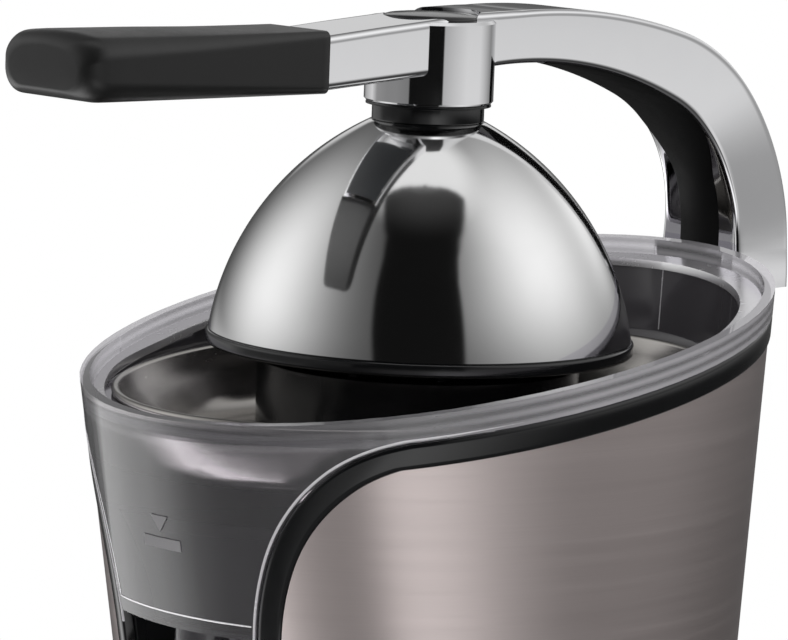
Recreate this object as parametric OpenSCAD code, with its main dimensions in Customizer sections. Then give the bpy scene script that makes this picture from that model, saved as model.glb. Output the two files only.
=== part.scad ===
// Electric citrus press with a hinged press arm, seen with its front towards -Y.
// Millimetres. The origin lies on the table under the axis of the press dome, +Z is up.

/* [Stand] */
// Height of the dome's lower edge above the table
press_z = 240; // [236:1:250]
// Height of the rubber feet
foot_h = 4; // [3:0.5:6]
// Radius of one rubber foot
foot_r = 9; // [7:0.5:10]
// Thickness of the base plate
base_h = 14; // [13:0.5:18]
// Half width of the base plate
base_half_w = 77; // [76:0.5:82]
// Reach of the base plate in front of the body's centre
base_front = 126; // [122:1:130]
// Reach of the base plate behind the body's centre
base_back = 97; // [96:0.5:102]
// Radius of the shallow seat for the glass
glass_seat_r = 30; // [26:0.5:31]

/* [Body] */
// Half width of the body at the rim
body_half_w = 84.3; // [83:0.1:88]
// Reach of the rim in front of the body's centre
body_front = 108.4; // [107:0.1:112]
// Reach of the rim behind the body's centre
body_back = 104.2; // [103:0.1:104.6]
// How far the body's centre lies behind the dome's axis
body_cy = 4.8; // [4.2:0.1:5.2]
// Inward taper of the sides and back, in degrees
side_taper = 3; // [2.6:0.1:3.4]
// Backward rake of the front, in degrees
front_rake = 11.3; // [10.8:0.1:11.8]
// Upward slope of the rim towards the back, in degrees
rim_slope = 9; // [8.6:0.1:9.4]
// Height of the rim above the dome's lower edge, on the dome's axis
rim_lift = 5; // [4:0.1:6]
// Sheet thickness of the brushed shell
sheet_t = 1; // [0.8:0.05:1.1]
// Wall of the moulded chassis
chassis_wall = 3; // [2.5:0.1:3.5]

/* [Trim and front opening] */
// Height of the clear band above the trim
band_h = 7.2; // [6:0.1:8]
// Height of the trim below the clear band
trim_h = 7.2; // [6:0.1:8]
// Width of the trim beside the front opening
trim_w = 6; // [5:0.1:7]
// Thickness of the trim
trim_t = 3.2; // [3:0.05:3.3]
// Half width of the front opening under the reservoir
mouth_half_w = 26.6; // [25.5:0.1:27.5]
// Depth below the dome's lower edge where the opening starts to flare
flare_drop = 72; // [70:0.5:74]

/* [Bowl and strainer] */
// Wall of the clear bowl
bowl_wall = 2.6; // [2.2:0.1:3]
// Width of the clear rim
rim_w = 3; // [2.8:0.1:3.2]
// Depth of the ledge that carries the strainer, below the rim
ledge_drop = 5; // [4:0.1:6]
// Depth of the bowl's floor below the dome's lower edge
bowl_drop = 37; // [36:0.5:38]
// Depth of the reservoir's floor below the dome's lower edge
reservoir_drop = 65.5; // [62:0.5:67]
// Depth of the strainer's floor below the dome's lower edge
strainer_drop = 27; // [25.5:0.5:28]
// Sheet thickness of the strainer
strainer_t = 0.9; // [0.7:0.05:1.1]
// Number of slots round the strainer
slot_count = 36; // [24:2:40]
// Width of one strainer slot
slot_w = 1.6; // [1:0.1:2]

/* [Press dome] */
// Outer radius of the dome's black lip
lip_r = 59; // [58:0.1:60]
// Height of the dome's black lip
lip_h = 3.6; // [3:0.1:4]
// Height of the polished shell's upper edge above the lip's lower edge
dome_h = 62.5; // [61:0.1:63]
// Radius of the dome's profile arc
dome_arc_r = 79; // [78:0.1:80]
// Sheet thickness of the dome
dome_t = 1.2; // [1:0.1:1.5]
// Wall of the black press cup inside the dome
cup_wall = 2.5; // [2:0.1:3]
// Radius of the black collar
collar_r = 15.4; // [14.6:0.1:15.6]
// Height of the black collar
collar_h = 5.1; // [4.5:0.1:6]

/* [Press arm] */
// Radius of the hub
hub_r = 17.75; // [17:0.1:18.5]
// Height of the hub
hub_h = 23; // [22:0.1:24]
// Thickness of the arm over the hub
arm_t = 15.1; // [14.5:0.1:15.5]
// Height of the arm's underside above the hub's lower edge
arm_lift = 10.6; // [10:0.1:11]
// Half width of the arm
arm_half_w = 12.2; // [11.5:0.1:12.6]
// Half width of the arm's leg
leg_half_w = 15.7; // [15:0.1:16.5]
// Back of the leg, behind the dome's axis
arm_back = 136.6; // [136.2:0.1:138]
// Depth of the leg
leg_t = 22.5; // [21.5:0.1:23]
// Radius of the arch's outer corner
arch_out_r = 62; // [60:0.5:64]
// Radius of the arch's inner corner
arch_in_r = 45; // [44:0.5:47]
// Radius of the outer crown of the arch
crown_out_r = 219; // [215:1:223]
// Radius of the inner crown of the arch
crown_in_r = 154.5; // [152:0.5:156]
// Radius of the hinge pin
pin_r = 4; // [3.5:0.1:4.5]
// Height of the hinge pin above the dome's lower edge
pin_lift = 20; // [19.5:0.1:20.5]

/* [Grip] */
// Where the grip starts, in front of the dome's axis
grip_start = 50; // [48:0.5:52]
// Where the grip ends, in front of the dome's axis
grip_end = 139.5; // [136:0.5:140]
// Half width of the grip's free end
grip_half_w = 18.5; // [16:0.1:19]
// Depth of the grip's underside below the top of the arm
grip_drop = 20.5; // [20:0.1:21]
// Rise of the grip towards its free end
grip_rise = 1.5; // [0:0.1:2.5]
// Thickness of the grip
grip_t = 16.8; // [16.2:0.1:17.4]

/* [Reamer] */
// Radius of the reamer's base
cone_base_r = 44.5; // [43:0.1:45]
// Radius of the reamer where it rises from its base
cone_r = 35; // [34:0.1:36]
// Height of the reamer's tip above the dome's lower edge
cone_top = 42; // [40:0.5:43]
// Number of reaming ribs
rib_count = 10; // [8:1:12]
// Thickness of a reaming rib
rib_t = 2.2; // [1.8:0.1:2.6]
// Travel of the reamer when it is pressed down
press_travel = 3; // [2:0.1:3]

/* [Drive] */
// Radius of the drive shaft
shaft_r = 4; // [3.5:0.1:4.2]
// Tooth module of all gears
tooth_m = 1; // [0.98:0.01:1.02]
// Teeth on the output gear
output_teeth = 50; // [50:1:50]
// Teeth on the small wheel of the counter gear
counter_small_teeth = 16; // [16:1:16]
// Teeth on the large wheel of the counter gear
counter_large_teeth = 44; // [44:1:44]
// Teeth on the motor pinion
pinion_teeth = 12; // [12:1:12]
// Face width of the output gear
gear_w = 10; // [9:0.1:10]
// Radius of the motor can
motor_r = 25; // [22:0.5:25]
// Length of the motor can
motor_h = 70; // [60:1:75]
// Radius of the cord's way in
cord_r = 3.6; // [3:0.1:4]

/* [Spout] */
// Half width of the pouring spout
spout_half_w = 7; // [6:0.1:7.2]
// Reach of the spout from its pin
spout_len = 26; // [22:0.5:27]
// Downward slope of the open spout, in degrees
spout_slope = 25; // [23:0.5:26]

/* [Fits] */
// Running clearance on a radius
run_fit = 0.05; // [0.03:0.01:0.08]
// Clearance between parts that stand beside each other
side_fit = 0.3; // [0.25:0.01:0.35]

/* [Hidden] */
$fn = 96;
far = 400;
oval_steps = 72;
tilt = tan(rim_slope);
ref_z = press_z + rim_lift + body_cy * tilt;
body_top = ref_z + 40;
base_z = foot_h;
deck_z = foot_h + base_h;

// Layers of the body, measured inwards from its outer face
sheet_inset = 0.6;
flange_inset = sheet_inset + sheet_t + side_fit;
chassis_inset = trim_t + side_fit;
bowl_inset = chassis_inset + 0.1;
cavity_inset = chassis_inset + chassis_wall;
flange_lap = 4;

// Levels of the bowl and of what stands in it
bowl_low = press_z - bowl_drop - bowl_wall;
bowl_floor = press_z - bowl_drop;
reservoir_floor = press_z - reservoir_drop;
reservoir_low = reservoir_floor - bowl_wall - 0.4;
chassis_top = bowl_low - 0.3;
deck_t = 3.5;
nose_back = 45;
nose_wall = 3;
strainer_low = press_z - strainer_drop - strainer_t;
strainer_floor = press_z - strainer_drop;
dish_inset = bowl_inset + bowl_wall + 0.8;
chimney_r = 10;
chimney_top = strainer_floor + 2;

// Front bay
bay_half_w = mouth_half_w - 2.6;
bay_back = 60;
nest_half_w = 48;
nest_floor_t = 6;
liner_fit = 0.1;
glass_y = -89;

// Gear train, stacked downwards from the deck
gearbox_top = chassis_top - 31.5;
cover_t = 3;
gearbox_h = 25;
gearbox_wall = 2.5;
gearbox_low = gearbox_top - cover_t - gearbox_h;
gearbox_floor = gearbox_low + gearbox_wall;
counter_y = tooth_m * (output_teeth + counter_small_teeth) / 2;
motor_y = counter_y + tooth_m * (counter_large_teeth + pinion_teeth) / 2;
gearbox_half_w = 34;
gearbox_back = motor_y + 17;
gearbox_front = -30;
post_r = 5.5;
post_x = gearbox_half_w - 6.5;
post_ys = [gearbox_front + 7, gearbox_back - 7];
hub_gear_r = 8;
bush_r = 8;
bush_low_top = gearbox_floor + 0.7;
output_low = bush_low_top + side_fit;
output_face = output_low + 3;
counter_low = gearbox_floor + 1;
wheel_low = output_face + gear_w + 1;
wheel_w = 5;
motor_shaft_r = 2.5;
motor_top = gearbox_low;
shaft_low = gearbox_low - 6;
shaft_top = press_z - 8;
screw_r = 1.9;
plunger_h = 8;
switch_top = shaft_low - plunger_h;

// Arm
hub_z = press_z + dome_h + collar_h;
arm_under = hub_z + arm_lift;
arm_top = arm_under + arm_t;
pin_y = arm_back - leg_t / 2 - 0.25;
pin_z = press_z + pin_lift;
ear_r = pin_y - (arm_back - leg_t);
tongue_half_w = 10;
tongue_r = 9;
slot_top = pin_z + tongue_r + 6;

// Dome profile: one arc through the lip and the collar
dome_top_r = collar_r + 0.4;
dome_low_r = lip_r - 0.7;
dome_chord = [dome_top_r - dome_low_r, dome_h - lip_h];
dome_mid = [(dome_top_r + dome_low_r) / 2, (dome_h + lip_h) / 2];
dome_rise = sqrt(dome_arc_r * dome_arc_r - norm(dome_chord) * norm(dome_chord) / 4);
dome_centre = dome_mid - dome_rise * [dome_chord[1], -dome_chord[0]] / norm(dome_chord);
dome_hole_r = dome_centre[0] + sqrt(pow(dome_arc_r - dome_t, 2) - pow(dome_h - dome_centre[1], 2));

// Spout
spout_pin_y = -72;
spout_pin_z = reservoir_low - 14.5;
spout_pin_r = 1.5;

module at_z(z) {
    translate([0, 0, z]) children();
}

// Upright round of radius r from height z0 to height z1
module rod(r, z0, z1) {
    at_z(z0) cylinder(r = r, h = z1 - z0);
}

// Box centred on X between two corners in Y and Z
module block(half_w, y0, y1, z0, z1) {
    translate([-half_w, y0, z0]) cube([2 * half_w, y1 - y0, z1 - z0]);
}

// Side profile in Y and Z, spread to both sides of the middle plane
module side_plate(half_w) {
    translate([-half_w, 0, 0])
        rotate([90, 0, 90])
            linear_extrude(2 * half_w) children();
}

// Points of an arc about centre c from angle a0 to angle a1
function arc(c, r, a0, a1, steps) = [for (i = [0:steps])
    let (a = a0 + (a1 - a0) * i / steps) c + r * [cos(a), sin(a)]];

// One oval section, longer or shorter in front than behind
function oval(half_w, front, back, z) = [for (i = [0:oval_steps - 1])
    let (a = 360 * i / oval_steps)
    [half_w * cos(a), body_cy + (a > 180 ? front : back) * sin(a), z]];

// Section of the tapered and raked body at height z, drawn in by an inset
function body_ring(z, inset) = oval(
    body_half_w - tan(side_taper) * (ref_z - z) - inset,
    body_front - tan(front_rake) * (ref_z - z) - inset,
    body_back - tan(side_taper) * (ref_z - z) - inset, z);

// Closed solid through a stack of sections with equal point counts
module loft(rings) {
    n = len(rings[0]);
    m = len(rings);
    points = [for (ring = rings) each ring];
    bottom = [for (i = [0:n - 1]) i];
    top = [for (i = [n - 1:-1:0]) (m - 1) * n + i];
    lower = [for (k = [0:m - 2], i = [0:n - 1])
        [k * n + i, (k + 1) * n + i, (k + 1) * n + (i + 1) % n]];
    upper = [for (k = [0:m - 2], i = [0:n - 1])
        [k * n + i, (k + 1) * n + (i + 1) % n, k * n + (i + 1) % n]];
    polyhedron(points, concat([bottom, top], lower, upper));
}

module body_core(z0, z1, inset) {
    loft([body_ring(z0, inset), body_ring(z1, inset)]);
}

// Layer of the body between two insets
module skin(z0, z1, outer_inset, inner_inset) {
    difference() {
        body_core(z0, z1, outer_inset);
        body_core(z0 - 1, z1 + 1, inner_inset);
    }
}

// Everything below the sloped rim plane, lowered by a drop
module under_rim(drop) {
    at_z(press_z + rim_lift - drop)
        rotate([rim_slope, 0, 0])
            translate([-far, -far, -2 * far]) cube(2 * far);
}

// Edge of the front opening: upright under the reservoir, then flaring along the rim.
// Each bend is a radius and a turning angle.
bends = [[96, 16], [66, 25], [39, 25], [63, 11]];
bend_steps = 5;
start_heading = 86;

function bend_points(p, heading, widen, i) = i == len(bends) ? [] :
    let (r = bends[i][0] - widen, turn = bends[i][1])
    let (c = p + r * [sin(heading), -cos(heading)])
    let (pts = arc(c, r, heading + 90, heading + 90 - turn, bend_steps))
    concat([for (k = [1:bend_steps]) pts[k]],
        bend_points(pts[bend_steps], heading - turn, widen, i + 1));

function opening_edge(widen) =
    let (start = [mouth_half_w, press_z - flare_drop] + widen * [sin(start_heading), -cos(start_heading)])
    let (foot = [start[0] - (start[1] + 20) / tan(start_heading) * 0.25, -20])
    let (pts = concat([foot, start], bend_points(start, start_heading, widen, 0)))
    let (last = pts[len(pts) - 1])
    concat(pts, [[far, last[1] + (far - last[0]) * tilt], [far, far]]);

// Prism of the front opening, widened all round and starting behind y = -back
module opening(widen, back) {
    edge = opening_edge(widen);
    mirrored = [for (i = [len(edge) - 1:-1:0]) [-edge[i][0], edge[i][1]]];
    translate([0, -back, 0])
        rotate([90, 0, 0])
            linear_extrude(far) polygon(concat(edge, mirrored));
}

// Involute spur gear with a tooth centred on +X
pressure = 25;
backlash = 0.12;
function inv(a) = tan(a) * 180 / PI - a;
function tooth_half(pitch_r, base_r, teeth, r) =
    90 / teeth * (1 - backlash) + inv(pressure) - (r > base_r ? inv(acos(base_r / r)) : 0);

module spur_gear(teeth, h) {
    pitch_r = tooth_m * teeth / 2;
    base_r = pitch_r * cos(pressure);
    root_r = pitch_r - 1.2 * tooth_m;
    tip_r = pitch_r + 0.9 * tooth_m;
    flank_steps = 3;
    flank = concat([root_r], [for (k = [0:flank_steps])
        max(base_r, root_r) + 0.01 + (tip_r - max(base_r, root_r) - 0.01) * k / flank_steps]);
    half = [for (r = flank) [r, tooth_half(pitch_r, base_r, teeth, r)]];
    outline = [for (t = [0:teeth - 1]) each concat(
        [for (p = half) p[0] * [cos(360 * t / teeth - p[1]), sin(360 * t / teeth - p[1])]],
        [for (k = [len(half) - 1:-1:0])
            half[k][0] * [cos(360 * t / teeth + half[k][1]), sin(360 * t / teeth + half[k][1])]])];
    linear_extrude(h) polygon(outline);
}

// Rectangle with true round corners
module rounded_plate(x0, x1, y0, y1, r, h) {
    linear_extrude(h) union() {
        translate([x0 + r, y0]) square([x1 - x0 - 2 * r, y1 - y0]);
        translate([x0, y0 + r]) square([x1 - x0, y1 - y0 - 2 * r]);
        for (x = [x0 + r, x1 - r], y = [y0 + r, y1 - r])
            translate([x, y]) circle(r);
    }
}

// Places of the feet and of the screws
foot_places = [[-42, -75], [42, -75], [-44, 68], [44, 68]];
screw_places = [[-50, -22], [50, -22], [-50, 45], [50, 45]];
post_places = [for (x = [-post_x, post_x], y = post_ys) [x, y]];
boss_r = 5.5;
screw_head_r = 3.6;
screw_head_h = 2.5;
screw_seat = base_z + 4;
screw_reach = 14;
screw_bite = 11;
boss_web = 3;

module at_each(places) {
    for (p = places) translate([p[0], p[1], 0]) children();
}

module base_ring_loft(z0, z1, inset0, inset1) {
    loft([
        oval(base_half_w - inset0, base_front - inset0, base_back - inset0, z0),
        oval(base_half_w - inset1, base_front - inset1, base_back - inset1, z1)]);
}

module base_plate() {
    base_wall = 4;
    floor_t = 4;
    foot_sink = 1;
    color("#202122") difference() {
        union() {
            difference() {
                base_ring_loft(base_z, deck_z, 0, 1.5);
                base_ring_loft(base_z - 1, deck_z - floor_t, base_wall, base_wall);
            }
            intersection() {
                base_ring_loft(base_z, deck_z, 0, 1.5);
                union() {
                    at_each(foot_places) rod(foot_r + 2.5, base_z, deck_z - 1);
                    at_each(screw_places) rod(boss_r, base_z, deck_z - 1);
                }
            }
        }
        at_each(foot_places) rod(foot_r + run_fit, base_z - 1, base_z + foot_sink);
        at_each(screw_places) rod(screw_r + 0.15, base_z - 1, deck_z + 1);
        at_each(screw_places) rod(screw_head_r + 0.3, base_z - 1, screw_seat);
        translate([0, glass_y, 0]) rod(glass_seat_r, deck_z - 1.5, deck_z + 1);
    }
}

module rubber_feet() {
    color("#151515") at_each(foot_places) rod(foot_r, 0, base_z + 1);
}

module base_screws() {
    color("#b9bcc0") at_each(screw_places) {
        rod(screw_head_r, screw_seat - screw_head_h, screw_seat);
        rod(screw_r, screw_seat - 1, deck_z + screw_reach);
    }
}

// Windows through the back wall for the bracket's feet and for the cord
pad_half_w = 8;
pad_z0 = press_z - 88;
pad_z1 = press_z - 50;
gland_z = deck_z + 24;
gland_r = 6;
function back_y(z, inset) = body_cy + body_back - tan(side_taper) * (ref_z - z) - inset;

module back_window(fit) {
    block(pad_half_w + fit, back_y(pad_z0, 12), arm_back, pad_z0 - fit, pad_z1 + fit);
}

module gland_hole(r) {
    translate([0, back_y(gland_z, 15), gland_z])
        rotate([-90, 0, 0]) cylinder(r = r, h = 30);
}

// Room of the front bay and of the reservoir above it
module bay_room() {
    intersection() {
        opening(0.2, nose_back - 0.5);
        block(far, -far, far, reservoir_low - 0.2, far);
    }
    block(bay_half_w, -far, -bay_back, 0, reservoir_low + 1);
}

module chassis() {
    color("#1a1b1c") difference() {
        union() {
            difference() {
                body_core(deck_z, chassis_top, chassis_inset);
                body_core(deck_z - 1, chassis_top - deck_t, cavity_inset);
            }
            at_each(screw_places) rod(boss_r, deck_z, deck_z + screw_reach + 4);
            intersection() {
                body_core(deck_z, chassis_top, chassis_inset + chassis_wall / 2);
                for (p = screw_places) translate([p[0] + (p[0] > 0 ? far / 8 : -far / 8), 0, 0])
                    block(far / 8, p[1] - boss_web / 2, p[1] + boss_web / 2, deck_z, deck_z + screw_reach);
            }
            at_each(post_places) rod(post_r, gearbox_top, chassis_top - 1);
        }
        at_each(screw_places) rod(screw_r + 0.1, deck_z - 1, deck_z + screw_reach + 0.5);
        at_each(post_places) rod(screw_r + 0.1, gearbox_top - 1, gearbox_top + screw_bite + 2);
        bay_room();
        rod(shaft_r + 5, chassis_top - deck_t - 1, chassis_top + 1);
        gland_hole(gland_r + run_fit);
        for (z = [pad_z0 + 8, pad_z1 - 8])
            translate([0, back_y(z, 20), z])
                rotate([-90, 0, 0]) cylinder(r = 2.1, h = 40);
    }
}

// Walls behind the glass and the nest under the reservoir
module bay_liner() {
    color("#1a1b1c") difference() {
        intersection() {
            body_core(deck_z, chassis_top - deck_t - liner_fit, cavity_inset + liner_fit);
            union() {
                block(nest_half_w, -far, -nose_back + nose_wall + 0.5, reservoir_low - nest_floor_t, press_z);
                block(bay_half_w + chassis_wall, -far, -bay_back + chassis_wall, 0, press_z);
            }
        }
        bay_room();
    }
}

module steel_shell() {
    gap = 0.15;
    color("#9b918c") difference() {
        intersection() {
            skin(deck_z, body_top, sheet_inset, sheet_inset + sheet_t);
            under_rim(band_h + trim_h + gap);
        }
        opening(trim_w + gap, nose_back);
        back_window(side_fit);
        gland_hole(gland_r + run_fit);
    }
}

// Trim layer between two insets, reaching a lap further under the sheet
module trim_layer(outer_inset, inner_inset, lap) {
    difference() {
        intersection() {
            skin(deck_z, body_top, outer_inset, inner_inset);
            under_rim(band_h);
        }
        opening(0, nose_back);
        difference() {
            under_rim(band_h + trim_h + lap);
            opening(trim_w + lap, nose_back);
        }
    }
}

module panel_trim() {
    color("#17181a") union() {
        trim_layer(0, trim_t, 0);
        trim_layer(flange_inset, trim_t, flange_lap);
    }
}

outlet_y = -77;
outlet_r = 6;

module juice_bowl() {
    nose_fit = 0.3;
    ear_x = spout_half_w + 1.5;
    ear_t = 2.5;
    color([0.62, 0.61, 0.66, 0.4]) difference() {
        union() {
            intersection() {
                union() {
                    difference() {
                        body_core(reservoir_low, body_top, 0);
                        under_rim(band_h - 0.2);
                    }
                    body_core(bowl_low, body_top, bowl_inset);
                    intersection() {
                        body_core(reservoir_low, body_top, 0);
                        opening(-nose_fit, nose_back);
                    }
                }
                under_rim(0);
            }
            translate([0, outlet_y, 0]) rod(outlet_r + 2, reservoir_low - 5, reservoir_low + 1);
            for (s = [-1, 1]) translate([s * (ear_x + ear_t / 2), 0, 0])
                block(ear_t / 2, spout_pin_y - 4, spout_pin_y + 4, spout_pin_z - 4, reservoir_low + 1);
        }
        difference() {
            body_core(bowl_floor - 1, body_top + 1, rim_w);
            under_rim(ledge_drop);
        }
        body_core(bowl_floor, body_top + 1, bowl_inset + bowl_wall);
        intersection() {
            body_core(reservoir_floor, body_top + 1, bowl_wall + 0.2);
            opening(-nose_fit - bowl_wall, nose_back + nose_wall);
            block(far, -far, far, reservoir_floor, far);
        }
        rod(chimney_r - 3.5, bowl_low - 1, bowl_floor + 1);
        translate([0, outlet_y, 0]) rod(outlet_r, reservoir_low - 6, reservoir_floor + 1);
        translate([-far / 2, spout_pin_y, spout_pin_z])
            rotate([0, 90, 0]) cylinder(r = spout_pin_r, h = far);
    }
    color([0.62, 0.61, 0.66, 0.4]) difference() {
        rod(chimney_r, bowl_low, chimney_top);
        rod(chimney_r - 3.5, bowl_low - 1, chimney_top + 1);
    }
}

// Sections of the oval dish, from its floor up: height above the floor and inset from the wall
dish_curve = [[0, 19], [1.5, 14], [5, 7.5], [10, 3], [16, 1], [58, 0]];
screen_inset = dish_inset + dish_curve[0][1] + strainer_t + 0.3;
screen_seat = 2.5;
screen_t = 0.8;

module dish(shift) {
    loft([for (p = dish_curve) body_ring(strainer_low + p[0] + shift, dish_inset + p[1] + shift)]);
}

// Oval dish with a rolled-out lip on the bowl's ledge and an inward seat for the screen
module strainer_dish() {
    lip_t = 0.9;
    color("#c9c6c3") difference() {
        union() {
            difference() {
                intersection() {
                    dish(0);
                    under_rim(ledge_drop - lip_t);
                }
                dish(strainer_t);
            }
            difference() {
                intersection() {
                    skin(bowl_floor, body_top, rim_w + side_fit, dish_inset + strainer_t);
                    under_rim(ledge_drop - lip_t);
                }
                under_rim(ledge_drop);
            }
        }
        body_core(strainer_low - 1, strainer_floor + 1, screen_inset + screen_seat);
    }
}

// Slotted floor plate on the dish's seat
module strainer_screen() {
    slot_in = 22;
    slot_out = 47;
    color("#c9c6c3") difference() {
        body_core(strainer_floor, strainer_floor + screen_t, screen_inset);
        rod(chimney_r + side_fit, strainer_low - 1, strainer_floor + screen_t + 1);
        for (i = [0:slot_count - 1])
            rotate([0, 0, 360 * (i + 0.5) / slot_count])
                translate([slot_in, -slot_w / 2, strainer_low])
                    cube([slot_out - slot_in, slot_w, screen_t + 3]);
    }
}

// Reamer: skirted base, rounded cone and raised ribs
cone_low = strainer_floor + screen_t + press_travel + 1;
cone_step = press_z - 4;
cone_arc_r = 62;
socket_r = 3.9;
hub_low = chimney_top + press_travel + 1;

// Half of a pointed dome profile of height h over a foot of radius r
module ogive(r, h, arc_r) {
    chord = norm([r, h]);
    rise = sqrt(arc_r * arc_r - chord * chord / 4);
    centre = [r / 2, h / 2] - rise * [h, r] / chord;
    intersection() {
        translate(centre) circle(arc_r);
        square([r, h]);
    }
}

module reamer_cone() {
    skirt_t = 3;
    peak = press_z + cone_top;
    rib_rise = 4;
    color("#141415") difference() {
        union() {
            difference() {
                rod(cone_base_r, cone_low, cone_step);
                rod(cone_base_r - skirt_t, cone_low - 1, cone_step - skirt_t);
            }
            at_z(cone_step) rotate_extrude() ogive(cone_r, peak - cone_step - rib_rise, cone_arc_r);
            at_z(cone_step - 0.5) intersection() {
                rotate_extrude() ogive(cone_r + rib_rise, peak - cone_step + 0.5, cone_arc_r);
                union() for (i = [0:rib_count - 1])
                    rotate([0, 0, 360 * i / rib_count])
                        translate([0, -rib_t / 2, 0]) cube([far / 4, rib_t, far / 4]);
            }
            rod(9, hub_low, cone_step);
        }
        at_z(hub_low - 1) cylinder(r = socket_r, h = shaft_top - hub_low + 1.3, $fn = 6);
    }
}

module drive_shaft() {
    hex_h = shaft_top - hub_low + 1;
    color("#c4c7ca") {
        difference() {
            rod(shaft_r, shaft_low, shaft_top);
            difference() {
                rod(shaft_r + 1, shaft_top - hex_h, shaft_top + 1);
                at_z(shaft_top - hex_h - 1) cylinder(r = socket_r - 0.15, h = hex_h + 3, $fn = 6);
            }
        }
    }
}

// Ring of outer radius ro and bore ri
module ring(ro, ri, z0, z1) {
    difference() {
        rod(ro, z0, z1);
        rod(ri, z0 - 1, z1 + 1);
    }
}

module shaft_seal() {
    color("#1b1b1c") ring(shaft_r + 5, shaft_r + run_fit, chassis_top - deck_t, chassis_top);
}

module upper_bush() {
    color("#b08d57") ring(bush_r, shaft_r + run_fit, gearbox_top - cover_t, gearbox_top + 4);
}

module lower_bush() {
    color("#b08d57") ring(bush_r, shaft_r + run_fit, gearbox_low - 1, bush_low_top);
}

module output_gear() {
    color("#d9d4c3") difference() {
        union() {
            at_z(output_face) rotate([0, 0, 90]) spur_gear(output_teeth, gear_w);
            rod(hub_gear_r, output_low, gearbox_top - cover_t - side_fit);
        }
        rod(shaft_r + run_fit, output_low - 1, gearbox_top);
    }
}

axle_r = 3;

module counter_gear() {
    color("#d9d4c3") translate([0, counter_y, 0]) difference() {
        union() {
            at_z(counter_low) rotate([0, 0, 270 + 180 / counter_small_teeth])
                spur_gear(counter_small_teeth, wheel_low - counter_low + 0.5);
            at_z(wheel_low) rotate([0, 0, 90]) spur_gear(counter_large_teeth, wheel_w);
        }
        rod(axle_r + run_fit, counter_low - 1, gearbox_top);
    }
}

module counter_axle() {
    color("#b9bcc0") translate([0, counter_y, 0]) rod(axle_r, gearbox_low, gearbox_top);
}

module motor_can() {
    boss_r2 = 9;
    vents = 8;
    vent_w = 5;
    vent_depth = 6;
    color("#8b8f93") translate([0, motor_y, 0]) difference() {
        union() {
            rod(motor_r, motor_top - motor_h, motor_top - 2);
            rod(motor_r - 3, motor_top - motor_h - 4, motor_top);
            rod(boss_r2, motor_top - 1, motor_top + gearbox_wall);
        }
        rod(motor_shaft_r + run_fit, motor_top - motor_h - 5, motor_top + gearbox_wall + 1);
        for (i = [0:vents - 1]) rotate([0, 0, 360 * i / vents])
            translate([motor_r - vent_depth, -vent_w / 2, motor_top - motor_h * 0.88])
                cube([motor_r, vent_w, motor_h / 4]);
    }
}

module motor_shaft() {
    color("#c4c7ca") translate([0, motor_y, 0])
        rod(motor_shaft_r, motor_top - motor_h - 6, wheel_low + wheel_w + 0.5);
}

module motor_pinion() {
    color("#c79b4a") translate([0, motor_y, 0]) difference() {
        at_z(wheel_low - 0.5) rotate([0, 0, 270 + 180 / pinion_teeth])
            spur_gear(pinion_teeth, wheel_w + 1);
        rod(motor_shaft_r, wheel_low - 2, wheel_low + wheel_w + 2);
    }
}

module gearbox_plate(inset, h) {
    rounded_plate(-gearbox_half_w + inset, gearbox_half_w - inset,
        gearbox_front + inset, gearbox_back - inset, 8 - inset, h);
}

module gearbox_housing() {
    shelf_t = 2.5;
    shelf_half_w = 15;
    shelf_y = 22;
    color("#3a3d40") difference() {
        union() {
            difference() {
                at_z(gearbox_low) gearbox_plate(0, gearbox_h);
                at_z(gearbox_floor) gearbox_plate(gearbox_wall, gearbox_h);
            }
            at_each(post_places) rod(post_r, gearbox_low, gearbox_low + gearbox_h);
            for (s = [-1, 1]) translate([s * shelf_half_w, 0, 0])
                block(1.5, -8, 8, switch_top - 13 - shelf_t, gearbox_low + 1);
            block(shelf_half_w + 1.5, -8, 8, switch_top - 13 - shelf_t, switch_top - 13);
        }
        at_each(post_places) rod(screw_r + 0.1, gearbox_low - 1, gearbox_top);
        rod(bush_r, gearbox_low - 1, gearbox_floor + 1);
        translate([0, counter_y, 0]) rod(axle_r, gearbox_low - 1, gearbox_floor + 1);
        translate([0, motor_y, 0]) rod(9.1, gearbox_low - 1, gearbox_floor + 1);
    }
}

module gearbox_cover() {
    color("#2f3235") difference() {
        at_z(gearbox_top - cover_t) gearbox_plate(0, cover_t);
        at_each(post_places) rod(screw_r + 0.1, gearbox_low - 1, gearbox_top + 1);
        rod(bush_r, gearbox_low, gearbox_top + 1);
        translate([0, counter_y, 0]) rod(axle_r, gearbox_low, gearbox_top + 1);
    }
}

module gearbox_screws() {
    color("#b9bcc0") at_each(post_places) {
        rod(screw_head_r, gearbox_low - screw_head_h, gearbox_low);
        rod(screw_r, gearbox_low - 1, gearbox_top + screw_bite);
    }
}

plunger_half = 2;
touch_gap = 0.1;

module switch_body() {
    color("#26282a") difference() {
        block(10, -4, 4, switch_top - 13, switch_top);
        block(plunger_half + 0.4, -2.4, 2.4, switch_top - press_travel - 3, switch_top + 1);
    }
}

module switch_plunger() {
    color("#b3372f") block(plunger_half, -2, 2, switch_top - 2, shaft_low - touch_gap);
}

module cord_gland() {
    flange_t = 2.5;
    face = back_y(gland_z, 0) + 0.6;
    color("#161617") translate([0, 0, gland_z]) rotate([-90, 0, 0]) difference() {
        union() {
            translate([0, 0, face - 10]) cylinder(r = gland_r, h = 11);
            translate([0, 0, face]) cylinder(r = gland_r + 3, h = flange_t);
        }
        translate([0, 0, face - 11]) cylinder(r = cord_r, h = 20);
    }
}

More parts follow.
